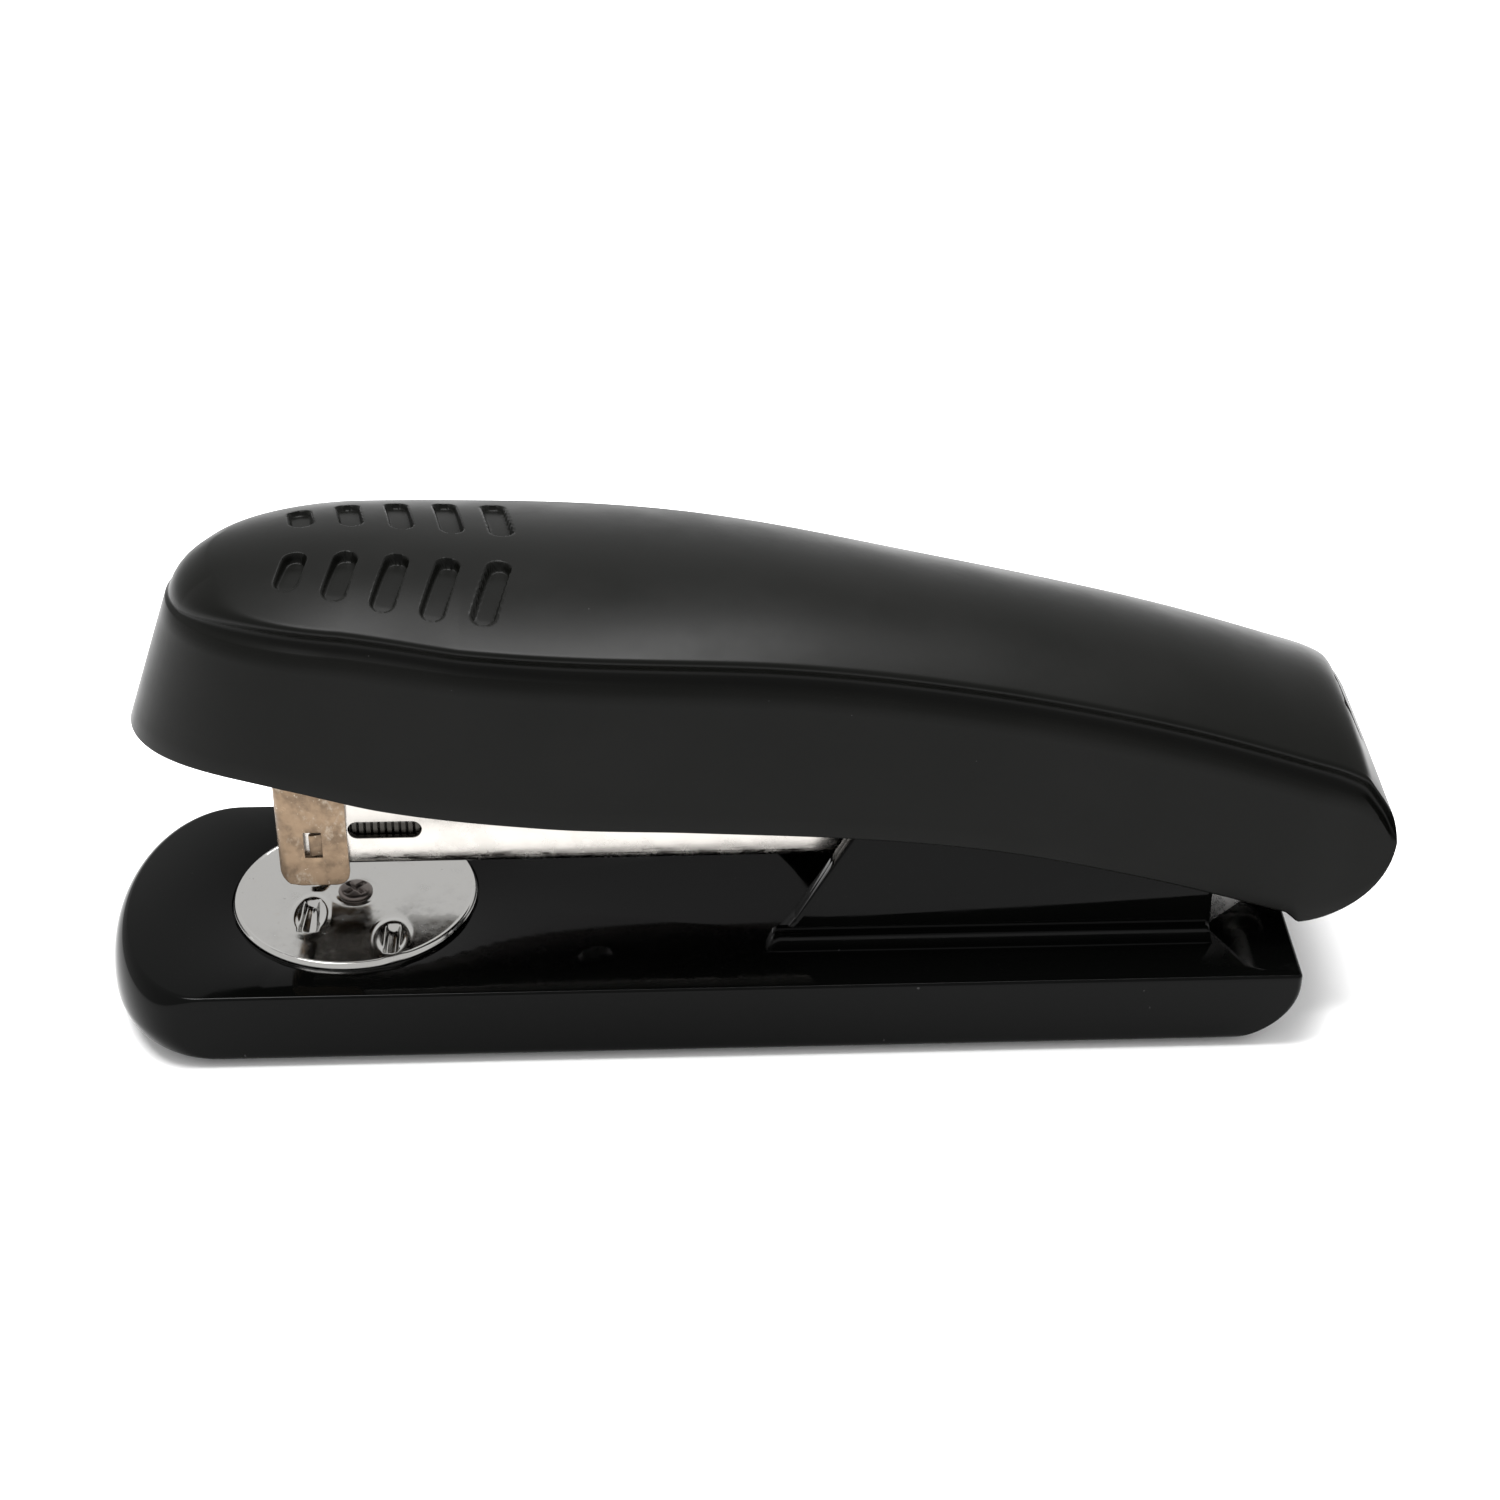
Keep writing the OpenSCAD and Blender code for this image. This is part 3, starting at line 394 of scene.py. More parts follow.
def satin_side(name, colour, roughness, specular):
    """A plain moulded or rubber face with a fine grain."""
    f = Finish(name, colour, roughness, specular=specular)
    f.paint(f.ranged(f.noise(0.2, 4), 0.4, 0.8), tuple(1.5 * c for c in colour))
    f.vary(f.noise(0.4, 4), 0.3, 0.7, roughness - 0.06, roughness + 0.06)
    f.bump(f.noise(2.5, 3, 0.6), 0.02, 0.6)
    return f.material


def plated(name, colour, stain, rough_low, rough_high, drawn=(0.06, 1, 1)):
    """Plated or drawn sheet metal: clouds of haze, fine drawing lines and small stains."""
    f = Finish(name, colour, rough_low, metallic=1.0)
    f.vary(f.noise(0.16, 6, 0.65), 0.35, 0.72, rough_low, rough_high)
    f.paint(f.ranged(f.noise(0.45, 6, 0.7), 0.55, 0.85), stain)
    f.bump(f.noise(5.0, 3, 0.6, drawn), 0.002, 0.35)
    f.bump(f.noise(0.1, 2, 0.4), 0.012, 0.3)
    return f.material


def bright_nickel():
    """Anvil: mirror plating with swirls of fine marks and worn, darker specks."""
    f = Finish("bright_nickel", (0.44, 0.435, 0.42), 0.1, metallic=1.0)
    f.vary(f.noise(0.35, 7, 0.7), 0.4, 0.75, 0.09, 0.30)
    f.paint(f.ranged(f.noise(0.9, 6, 0.7), 0.60, 0.78), (0.42, 0.40, 0.37))
    f.paint(f.ranged(f.noise(2.6, 3, 0.6), 0.72, 0.76), (0.12, 0.11, 0.10))
    f.bump(f.noise(0.35, 3, 0.5), 0.008, 0.35)
    f.bump(f.noise(4.0, 4, 0.7), 0.0015, 0.4)
    return f.material


def plated_steel():
    """Magazine channel: bright sheet, with painted shade along its lower bend, in dark dashes and a dark line
    at its very edge.
    """
    f = Finish("plated_steel", (0.43, 0.41, 0.385), 0.22, metallic=1.0)
    f.vary(f.noise(0.3, 6, 0.65), 0.35, 0.72, 0.18, 0.34)
    bend = low("staple_channel")[2] * MM
    # painted shade: the lower bend of the sheet is darkened in dashes
    edge = f.ranged(f.axis("Z"), bend + 2.0 * MM, bend + 1.0 * MM)
    shade_dashes = f.ranged(f.noise(0.9, 5, 0.75, (0.35, 1, 2.0)), 0.54, 0.60)
    f.paint(f.product(edge, shade_dashes), (0.05, 0.045, 0.04))
    # painted shade: a solid dark line right along the bottom edge of the bend
    f.paint(f.ranged(f.axis("Z"), bend + 0.3 * MM, bend + 0.08 * MM), (0.06, 0.055, 0.05))
    f.paint(f.ranged(f.noise(2.2, 2, 0.5), 0.76, 0.80), (0.25, 0.23, 0.2))
    f.bump(f.noise(6.0, 3, 0.6, (0.08, 1, 1)), 0.0015, 0.3)
    f.bump(f.noise(0.12, 2, 0.4), 0.015, 0.3)
    return f.material


def bronzed_steel():
    """Nose guide: zinc plating that has gone brown in blotches, with pale scuffs."""
    f = Finish("bronzed_steel", (0.20, 0.14, 0.09), 0.34, metallic=0.8)
    f.paint(f.ranged(f.noise(0.38, 5, 0.6), 0.42, 0.66), (0.115, 0.08, 0.052))
    f.paint(f.ranged(f.noise(0.55, 5, 0.7, (1, 1, 0.7)), 0.55, 0.72), (0.27, 0.225, 0.175))
    f.paint(f.ranged(f.noise(1.7, 5, 0.75), 0.64, 0.72), (0.62, 0.56, 0.46))
    f.vary(f.noise(0.8, 6, 0.7), 0.3, 0.7, 0.26, 0.46)
    f.bump(f.noise(1.2, 5, 0.7), 0.012, 0.4)
    return f.material


def staple_wire():
    """Staples: bright wire over the crown, darkened by painted shade down the legs."""
    f = Finish("staple_wire", (0.60, 0.60, 0.61), 0.25, metallic=1.0)
    crown = high("staple_strip")[2] * MM
    # painted shade: the legs below the crown are painted near black, as if in shadow inside the channel
    f.paint(f.ranged(f.axis("Z"), crown - 1.6 * MM, crown - 2.6 * MM), (0.035, 0.033, 0.03))
    f.vary(f.noise(0.8, 4), 0.3, 0.7, 0.22, 0.4)
    f.bump(f.noise(4.0, 3, 0.6, (1, 1, 0.1)), 0.003, 0.4)
    return f.material


MATERIALS = {
    "satin_black": satin_black(),
    "gloss_black": gloss_black(),
    "sole_rubber": satin_side("sole_rubber", (0.012, 0.012, 0.012), 0.75, 0.3),
    "bright_nickel": bright_nickel(),
    "plated_steel": plated_steel(),
    "plain_steel": plated("plain_steel", (0.56, 0.55, 0.54), (0.34, 0.32, 0.30), 0.24, 0.42),
    "dark_steel": plated("dark_steel", (0.15, 0.13, 0.12), (0.07, 0.06, 0.055), 0.30, 0.50, (1, 1, 1)),
    "spring_steel": plated("spring_steel", (0.50, 0.50, 0.52), (0.30, 0.29, 0.30), 0.22, 0.36),
    "staple_wire": staple_wire(),
    "bronzed_steel": bronzed_steel(),
}

# Handle ---------------------------------------------------------------------
WALL = 1.5
TOP_WALL = 1.8
CROWN = 3.09
DRAFT = 0.3
GROOVE = 3.0
GROOVE_DEEP = 0.8
NOSE_ROUND = 18.0
NOSE_LEAN = 0.35
LIP_RISE = 11.2
BULGE = 3.7
BULGE_SPREAD = 28.0
HALF_WIDTH = 12.7
# Height over the hinge against the share of the way from the hinge to the nose.
CREASE = [
    (-0.042, 8.7), (0, 10.9), (0.13, 16.1), (0.30, 21.2),
    (0.48, 25.3), (0.70, 27.6), (0.86, 28.9), (1, 29.2),
]
SKIRT = [(0, -9), (0.13, -3.9), (0.28, 0.7), (0.52, 5.3), (0.65, 6.6), (0.78, 8.1), (0.89, 10.9), (1, 11.2)]
LOBE = high("handle_cover")[0] - hinge_x
REAR_LEAN = math.radians(26)
NOSE_X = low("handle_cover")[0]
REACH = hinge_x - NOSE_X
REAR_RUN = 16
REAR_X = hinge_x - REAR_RUN
BULGE_X = hinge_x - 76
GRIP_END = -19


def crease_z(x):
    return hinge_z + smooth_line(CREASE, (hinge_x - np.asarray(x, float)) / REACH)


def skirt_z(x):
    return hinge_z + smooth_line(SKIRT, (hinge_x - np.asarray(x, float)) / REACH)


def side_y(x):
    return HALF_WIDTH + BULGE * np.exp(-(((BULGE_X - x) / BULGE_SPREAD) ** 2))


def nose_share(x):
    """Share of the full half width at a station, which rounds the nose in plan."""
    c = np.clip((x - NOSE_X) / NOSE_ROUND, 0, 1)
    return np.sqrt(np.clip(1 - (1 - c) ** 2, 0, 1))


def lean(p):
    """Leans the front of the nose back above the lip."""
    fade = np.clip((NOSE_X + 2 * NOSE_ROUND - p[:, 0]) / NOSE_ROUND, 0, 1)
    p[:, 0] += NOSE_LEAN * fade * np.maximum(0, p[:, 2] - hinge_z - LIP_RISE)
    return p


def crown_top(x, y):
    """Height of the handle's top ahead of its rear."""
    share = nose_share(x)
    half = np.maximum(side_y(x) * share, 1e-6)
    return crease_z(x) + CROWN * share * (1 - np.clip(np.abs(y) / half, 0, 1) ** 2)


def rear_paths(shares):
    """The crease and the skirt's edge behind REAR_X, which meet at the back of the lobe."""
    ahead = [(hinge_x - d, float(crease_z(hinge_x - d))) for d in (REAR_RUN, 12, 8, 4, 0.6)]
    corner = [(2.9, 9.9), (4.9, 9.0), (6.2, 8.2), (7.2, 6.9), (8.4, 5.1), (9.3, 3.3), (9.8, 1.5), (LOBE, 0)]
    behind = [(hinge_x + a, hinge_z + b) for a, b in corner]
    top = resample(curve_through(ahead + behind), shares)
    edge = [(x, float(skirt_z(x))) for x in np.linspace(REAR_X, hinge_x - 1, 12)]
    bottom = resample(edge + arc(hinge_x, hinge_z, LOBE, -88, 0, 40), shares)
    return top, bottom


def handle_stations():
    """Each station: its side, crease point, skirt point, the crease's outward normal and its plan angle."""
    angles = np.radians(np.linspace(0, 90, 111))
    nose = [(NOSE_X + NOSE_ROUND * (1 - math.cos(a)), a) for a in angles]
    fine = np.arange(NOSE_X + NOSE_ROUND + 0.2, GRIP_END, 0.2)
    body = np.concatenate([fine, np.linspace(GRIP_END + 1, REAR_X, 46)[:-1]])
    out = [((x, float(crease_z(x))), (x, float(skirt_z(x))), (0, 1), a) for x, a in nose]
    out += [((x, float(crease_z(x))), (x, float(skirt_z(x))), (0, 1), math.pi / 2) for x in body]
    shares = np.linspace(0, 1, 81)
    top, bottom = rear_paths(shares)
    run = np.gradient(top, axis=0)
    run /= np.linalg.norm(run, axis=1)[:, None]
    turn = smoothstep(shares * 2.2)
    for t, b, r, k in zip(top, bottom, run, turn):
        n = np.array([-r[1], r[0]]) * k + np.array([0, 1]) * (1 - k)
        out.append((tuple(t), tuple(b), tuple(n / np.linalg.norm(n)), math.pi / 2))
    return out


def behind_cut(p, inset):
    """Points held inside the flat rear face, with a soft corner where the top meets it."""
    face = hinge_x + (LOBE - inset - (p[:, 2] - hinge_z) * math.sin(REAR_LEAN)) / math.cos(REAR_LEAN)
    soft = 1.6
    gap = np.clip((face - p[:, 0]) * soft, -30, 30)
    over = np.where(p[:, 2] > hinge_z + 1, np.log1p(np.exp(-gap)) / soft, 0)
    p[:, 0] -= over * smoothstep((p[:, 2] - hinge_z - 3.5) / 4)
    return p


def section(station, side, inner):
    """Points from the skirt's rim up over the crease to the middle line, for one station and side."""
    (tx, tz), (bx, bz), (nx, nz), angle = station
    top = np.array([tx, 0, tz])
    bottom = np.array([bx, 0, bz])
    half = float(side_y(tx)) * math.sin(angle)
    outline = np.array([tx, half, 0])
    pole = np.array([max(tx, NOSE_X + NOSE_ROUND), 0, 0])
    reach = np.linalg.norm(pole - outline)
    inward = (pole - outline) / reach
    normal = np.array([nx, 0, nz])
    rear = tx > REAR_X
    height = np.linalg.norm(top - bottom)
    down = (bottom - top) / height if height > 1e-6 else np.array([0, 0, -1.0])
    side_in = WALL if inner else 0
    top_in = TOP_WALL if inner else 0
    fade = float(smoothstep(height / 10))
    crown = CROWN * float(smoothstep((tz - hinge_z - 3) / 6)) if rear else CROWN

    def over_top(d):
        """A point on the top, at a distance in from the outline."""
        d = np.asarray(d, float)[:, None]
        plan = outline + inward * d
        if rear:
            c = 1 - d / reach
            over = plan * [0, 1, 0] + top + [0, 0, 1] * (crown * (1 - c**2)) - normal * top_in
            return behind_cut(over, top_in)
        z = crown_top(plan[:, 0], plan[:, 1]) - top_in
        return np.column_stack([plan[:, 0], plan[:, 1], z])

    def on_wall(e, d):
        """A point at a distance down from the crease and in from the outline."""
        e = np.asarray(e, float)[:, None]
        d = np.asarray(d, float)[:, None]
        return outline * [0, 1, 0] + top + down * e + inward * d

    if inner:
        rim = min(0.3, height / 6)
        edge = on_wall([height, height - rim], [side_in - rim, side_in])
        corner = over_top([side_in + 0.6])[0]
        start = on_wall([min(top_in + 0.8, height * 0.5)], [side_in])[0]
        if height < 6:
            start = edge[1] + (over_top([side_in])[0] - edge[1]) * 0.5
        knee = over_top([side_in])[0]
        wall = edge[1] + (start - edge[1]) * np.linspace(0, 1, 7)[1:, None]
        t = np.linspace(0, 1, 5)[1:, None]
        bend = (1 - t) ** 2 * start + 2 * t * (1 - t) * knee + t**2 * corner
        points = np.vstack([edge, wall, bend, over_top(np.linspace(side_in + 0.6, reach, 13)[1:])])
    else:
        soft = 0.4 + 2.8 * float(1 - smoothstep(math.sin(angle) * 1.25 - 0.25))
        fillet = min(soft, height * 0.15)
        rim = min(0.3, height / 8)
        band = min(GROOVE, height * 0.4)
        dip = GROOVE_DEEP * fade * math.sin(angle) ** 2
        out = -DRAFT * fade * (1 - float(smoothstep((tx - hinge_x) / 6)))
        a = np.radians(np.linspace(0, 90, 4))
        edge = on_wall(height - rim + rim * np.cos(a), out + rim - rim * np.sin(a))
        wall = on_wall(np.linspace(height - rim, band, 9)[1:], np.full(8, out))
        s = np.linspace(0, 1, 11)[1:]
        e = band + (fillet * 0.8 - band) * s
        groove = on_wall(e, out * (1 - smoothstep(s * 1.6)) + dip * np.sin(math.pi * s**0.85) ** 1.3)
        t = np.linspace(0, 1, 8)[1:, None]
        knee = on_wall([0], [0])[0]
        landing = over_top([fillet])[0]
        bend = (1 - t) ** 2 * groove[-1] + 2 * t * (1 - t) * knee + t**2 * landing
        points = np.vstack([edge, wall, groove, bend, over_top(np.linspace(fillet, reach, 81)[1:])])
    if not rear:
        points = lean(points)
    points[:, 1] *= side
    return points


SLOTS = 5
SLOT_X = NOSE_X + 19.3
SLOT_PITCH = 5.15
SLOT_INNER = 2.7
SLOT_R = 1.25
SLOT_SHORT = 5.7
SLOT_GROWTH = 4.2
SLOT_SLANT = math.radians(10)
RECESS_RISE = 9.3
RECESS_DEEP = 1.2
RECESS_WAY = (0.9, 0.43)


def grip_depth(p):
    """Depth of the finger-grip slots at points on the top."""
    deep = np.zeros(len(p))
    x, y = p[:, 0], np.abs(p[:, 1])
    for i in range(SLOTS):
        length = SLOT_SHORT + SLOT_GROWTH * math.sin(math.pi / 2 * i / (SLOTS - 1))
        start = np.array([SLOT_X + SLOT_PITCH * i - SLOT_R * math.tan(SLOT_SLANT), SLOT_INNER + SLOT_R])
        way = np.array([-math.sin(SLOT_SLANT), math.cos(SLOT_SLANT)])
        run = length - 2 * SLOT_R
        t = np.clip((x - start[0]) * way[0] + (y - start[1]) * way[1], 0, run)
        gap = np.hypot(x - start[0] - t * way[0], y - start[1] - t * way[1])
        floor = 1.05 - 0.4 * t / run
        deep = np.maximum(deep, floor * smoothstep((SLOT_R - gap) / 0.32 + 0.15))
    return deep


def handle_skin():
    """The hollow cover: an outer and an inner skin joined at the rim, with the slots and the rear recess."""
    stations = handle_stations()
    outer, inner = [], []
    for side in (-1, 1):
        order = stations[::-1] if side < 0 else stations[1:]
        outer += [section(s, side, False) for s in order]
        inner += [section(s, side, True) for s in order]
    outer = np.array(outer)
    inner = np.array(inner)
    rows, wide = outer.shape[:2]
    narrow = inner.shape[1]
    skin = outer.reshape(-1, 3)
    on_top = (skin[:, 2] > hinge_z + 24) & (skin[:, 0] < BULGE_X + 4)
    skin[on_top, 2] -= grip_depth(skin[on_top])
    up = np.abs(skin[:, 2] - hinge_z - RECESS_RISE)
    window = smoothstep((3.3 - np.abs(skin[:, 1])) / 0.3) * smoothstep((2.0 - up) / 0.3)
    window *= skin[:, 0] > hinge_x
    skin[:, 0] -= RECESS_DEEP * window * RECESS_WAY[0]
    skin[:, 2] -= RECESS_DEEP * window * RECESS_WAY[1]
    verts = np.vstack([skin, inner.reshape(-1, 3)])
    base = rows * wide
    faces = grid_faces(rows, wide) + grid_faces(rows, narrow, base, flip=True)
    for i in range(rows - 1):
        faces.append((i * wide, (i + 1) * wide, base + (i + 1) * narrow, base + i * narrow))
    for i in (0, rows - 1):
        loop = [i * wide + k for k in range(wide)] + [base + i * narrow + k for k in range(narrow)][::-1]
        faces.append(tuple(loop))
    piece = new_piece("handle_skin", verts, faces, 60)
    return place(piece, "handle", "satin_black", MATERIALS["satin_black"], "handle_cover")


handle_skin()

# Base -----------------------------------------------------------------------
BASE_TOP = 9.3
TOE = 3.4
BROW = 2.2
HEEL = 8.2
WAIST = 4.6
NOSE_PLAN = 9.0
BASE_FRONT = part_low[0]
BASE_REAR = high("base_shell")[0]
BASE_HALF = high("base_shell")[1]
ANVIL_X = middle("anvil_plate")[0]
ANVIL_R = (high("anvil_plate")[0] - low("anvil_plate")[0]) / 2
ANVIL_TOP = 9.8


def base_outline(front, rear, inset, rear_r):
    """Plan outline of the base with its nose and rear drawn in, one half after the other."""
    half = BASE_HALF - inset
    tip = BASE_FRONT + front
    back_x = BASE_REAR - inset - rear
    length = NOSE_PLAN + 0.9 * front
    turns = np.radians(np.linspace(-90, 90, 81))
    nose = [(tip + length * (1 - math.cos(a)), half * math.sin(a)) for a in turns]
    sides = np.linspace(tip + length, back_x - rear_r, 24)[1:-1]
    near = [(x, -half) for x in sides[::-1]]
    far = [(x, half) for x in sides]
    corner_far = arc(back_x - rear_r, half - rear_r, rear_r, 90, 0, 6)
    corner_near = arc(back_x - rear_r, -half + rear_r, rear_r, 0, -90, 6)
    back = [(back_x, y) for y in np.linspace(half - rear_r, -half + rear_r, 10)[1:-1]]
    return near + nose + far + corner_far + back + corner_near


def base_levels():
    """Heights up the base, each with how far its nose, its rear and its sides are drawn in."""
    foot = low("base_shell")[2]
    under = WAIST - foot
    over = BASE_TOP - WAIST
    bend = 0.8
    lift = BASE_TOP - foot - 1.4
    edge = 0.36
    heights = [foot + bend * (1 - math.cos(a)) for a in np.radians([0, 25, 45, 60, 75, 90])]
    heights += list(np.linspace(foot + bend, BASE_TOP - edge, 26)[1:])
    heights += [BASE_TOP - edge + edge * math.sin(a) for a in np.radians([25, 50, 70, 90])]
    levels = []
    for z in heights:
        if z < WAIST:
            front = TOE * (1 - math.sqrt(1 - ((WAIST - z) / under) ** 2))
        else:
            front = BROW * (1 - math.sqrt(max(0, 1 - ((z - WAIST) / (over + 0.05)) ** 2)))
        c = np.clip((z - foot) / lift, 0, 1)
        rear = HEEL * (1 - math.sin(math.acos(1 - c)))
        side = 0.0
        if z < foot + bend:
            side = bend * (1 - math.sqrt(max(0, 1 - ((foot + bend - z) / bend) ** 2)))
        if z > BASE_TOP - edge:
            side = edge * (1 - math.sqrt(max(0, 1 - ((z - BASE_TOP + edge) / edge) ** 2)))
        levels.append((z, front, rear, side))
    return levels


def base_skin():
    """The solid body of the base, with the round seat for the anvil in its top."""
    corner = 0.7
    rings = []
    for z, front, rear, side in base_levels():
        rings.append([(x, y, z) for x, y in base_outline(front, rear, side, corner)])
    count = len(rings[0])
    rim = np.array(rings[-1])
    plan = rim[:, :2] - [ANVIL_X, 0]
    way = plan / np.linalg.norm(plan, axis=1)[:, None]
    seat_r = ANVIL_R + 0.2
    seat = ((0.12, 0), (0.03, 0.03), (0, 0.12), (0, 0.7))
    for grow, drop in seat:
        r = seat_r + grow
        rings.append([(ANVIL_X + w[0] * r, w[1] * r, BASE_TOP - drop) for w in way])
    verts = np.array(rings).reshape(-1, 3)
    faces = grid_faces(len(rings), count, wrap=True)
    faces.append(tuple(range(count))[::-1])
    faces.append(tuple((len(rings) - 1) * count + k for k in range(count)))
    return new_piece("base_body", verts, faces, 40)


PED_FRONT = hinge_x - 56.0
PED_REAR = hinge_x - 8.6
CHEEK_OUT = 10.9
PLINTH_STEP = 1.1
PLINTH_RISE = 2.1
CHEEK = [
    (PED_FRONT, 9.2), (PED_FRONT + 2.4, 12.7), (PED_FRONT + 9.3, 24.7), (PED_FRONT + 12, 25.9),
    (PED_FRONT + 22.5, 25.9), (PED_REAR - 3, 20.3), (PED_REAR, 16.3), (PED_REAR, 9.2),
]


def rounded(points, radii):
    """A closed outline with its corners rounded."""
    steps = 8
    out = []
    n = len(points)
    for i, r in enumerate(radii):
        p = np.array(points[i], float)
        a = np.array(points[i - 1], float) - p
        b = np.array(points[(i + 1) % n], float) - p
        la, lb = np.linalg.norm(a), np.linalg.norm(b)
        a /= la
        b /= lb
        turn = math.acos(np.clip(np.dot(a, b), -1, 1))
        cut = min(r / math.tan(turn / 2), 0.45 * la, 0.45 * lb)
        if cut < 0.02:
            out.append(tuple(p))
            continue
        for t in np.linspace(0, 1, steps + 1):
            out.append(tuple((1 - t) ** 2 * (p + a * cut) + 2 * t * (1 - t) * p + t**2 * (p + b * cut)))
    return out


def cheeks():
    """The two cheeks of the pedestal and their thick front posts."""
    thin = 1.75
    thick = 3.2
    whole = rounded(CHEEK, [0, 1, 4, 3, 6, 4, 3, 0])
    inside = [(PED_FRONT + 12.2, 25.5), (PED_FRONT + 12.2, 18), (PED_FRONT + 6.5, 9.2)]
    front = rounded(CHEEK[:3] + inside, [0, 1, 4, 0.8, 4, 0])
    pieces = []
    for s in (-1, 1):
        pieces.append(plate("cheek", whole, s * (CHEEK_OUT - thin / 2), thin, 0.5))
        pieces.append(plate("post", front, s * (CHEEK_OUT - 0.05 - thick / 2), thick, 1.1))
    return pieces


def plinths():
    """The step along the outside of each cheek, with a small cove at its foot."""
    outer = CHEEK_OUT
    half = CHEEK_OUT + PLINTH_STEP
    top = BASE_TOP + PLINTH_RISE
    cove = [(half + 0.35, BASE_TOP), (half + 0.16, BASE_TOP + 0.04)]
    cove += [(half + 0.04, BASE_TOP + 0.16), (half, BASE_TOP + 0.4)]
    upper = [(half - 0.02, top - 0.5), (half - 0.12, top - 0.22)]
    upper += [(half - 0.35, top - 0.06), (half - 0.6, top)]
    upper += [(outer + 0.25, top), (outer + 0.08, top + 0.08), (outer, top + 0.28)]
    upper += [(outer - 0.6, top + 0.28), (outer - 0.6, BASE_TOP - 0.1)]
    shape = [(half + 0.35, BASE_TOP - 0.1)] + cove + upper
    ahead = [(-0.9, 0.0), (-0.55, 0.35), (0, 0.85), (0.6, 1.0)]
    behind = [(-0.6, 1.0), (-0.2, 0.85), (0, 0.35), (0.2, 0.0)]
    stations = [(PED_FRONT + d, k) for d, k in ahead] + [(PED_REAR + d, k) for d, k in behind]
    pieces = []
    for s in (-1, 1):
        rings = []
        for x, k in stations:
            rings.append([(x, s * y, BASE_TOP - 0.1 + (z - BASE_TOP + 0.1) * max(k, 0.02)) for y, z in shape])
        n = len(shape)
        faces = grid_faces(len(rings), n, wrap=True, flip=s > 0)
        faces.append(tuple(range(n)))
        faces.append(tuple((len(rings) - 1) * n + k for k in range(n))[::-1])
        pieces.append(new_piece("plinth", np.array(rings).reshape(-1, 3), faces, 40))
    return pieces


base = join("base_skin", [base_skin(), *cheeks(), *plinths()])
place(base, "base", "gloss_black", MATERIALS["gloss_black"], "base_shell")

# Anvil ----------------------------------------------------------------------
POCKET_X = 4.6
CLINCH = (1.3, 7.6)
PINNING = (6.1, 11.6)


def pocket_height(x, y, px, ends, taper):
    """Height of one raised oval rim with a trough inside it."""
    mid = (ends[0] + ends[1]) / 2
    long = (ends[1] - ends[0]) / 2 + 0.55
    u = (x - px) / 1.95
    v = (y - mid) / long
    oval = np.sqrt(u * u + v * v)
    rim = 0.2 * np.exp(-(((oval - 0.93) / 0.2) ** 2)) - 0.05 * smoothstep((0.8 - oval) / 0.2)
    t = np.clip((y - ends[0]) / (ends[1] - ends[0]), 0, 1)
    half = 0.75 + taper * t
    across = smoothstep((half - np.abs(x - px)) / 0.45 + 0.3)
    along = smoothstep((y - ends[0]) / 0.7) * smoothstep((ends[1] - y) / 0.5)
    groove = 0.13 * np.exp(-(((x - px) / 0.28) ** 2)) * along
    return rim - (0.52 * across + groove) * along


def anvil_plate():
    """Round plate with a bored middle, a rolled rim and two pairs of pockets."""
    bore_r = 1.66
    count = 480
    rim = ANVIL_R - np.array([0.5, 0.42, 0.34, 0.24, 0.14, 0.06, 0.015, 0])
    radii = np.concatenate([np.linspace(bore_r, ANVIL_R - 0.62, 84), rim])
    angles = np.arange(count) * 2 * math.pi / count
    r, a = np.meshgrid(radii, angles, indexing="ij")
    x, y = r * np.cos(a), r * np.sin(a)
    z = np.zeros_like(x)
    for s in (-1, 1):
        z += pocket_height(x, s * y, -POCKET_X, CLINCH, 0.35)
        z += pocket_height(x, s * y, POCKET_X, PINNING, 0.0)
    lip = (r - (ANVIL_R - 0.28)) / 0.28
    z += np.where(np.abs(lip) < 1, 0.1 * np.cos(lip * math.pi / 2), 0) - 0.32 * smoothstep((lip - 0.1) / 0.9)
    z -= 0.05 * np.exp(-(((r - 2.3) / 0.35) ** 2))
    z = np.minimum(z, 0.2) + ANVIL_TOP
    bottom = BASE_TOP - 0.64
    rings = [np.column_stack([x[i], y[i], z[i]]) for i in range(len(radii))]
    rings.append(np.column_stack([x[-1], y[-1], np.full(count, bottom + 0.1)]))
    rings.append(np.column_stack([x[-1] * 0.99, y[-1] * 0.99, np.full(count, bottom)]))
    rings.append(np.column_stack([x[0], y[0], np.full(count, bottom)]))
    verts = np.vstack(rings) + [ANVIL_X, 0, 0]
    faces = grid_faces(len(rings), count, wrap=True, flip=True)
    last = (len(rings) - 1) * count
    faces += [(last + k, last + (k + 1) % count, (k + 1) % count, k) for k in range(count)]
    piece = new_piece("anvil_disc", verts, faces, 60)
    return place(piece, "anvil", "bright_nickel", MATERIALS["bright_nickel"], "anvil_plate")


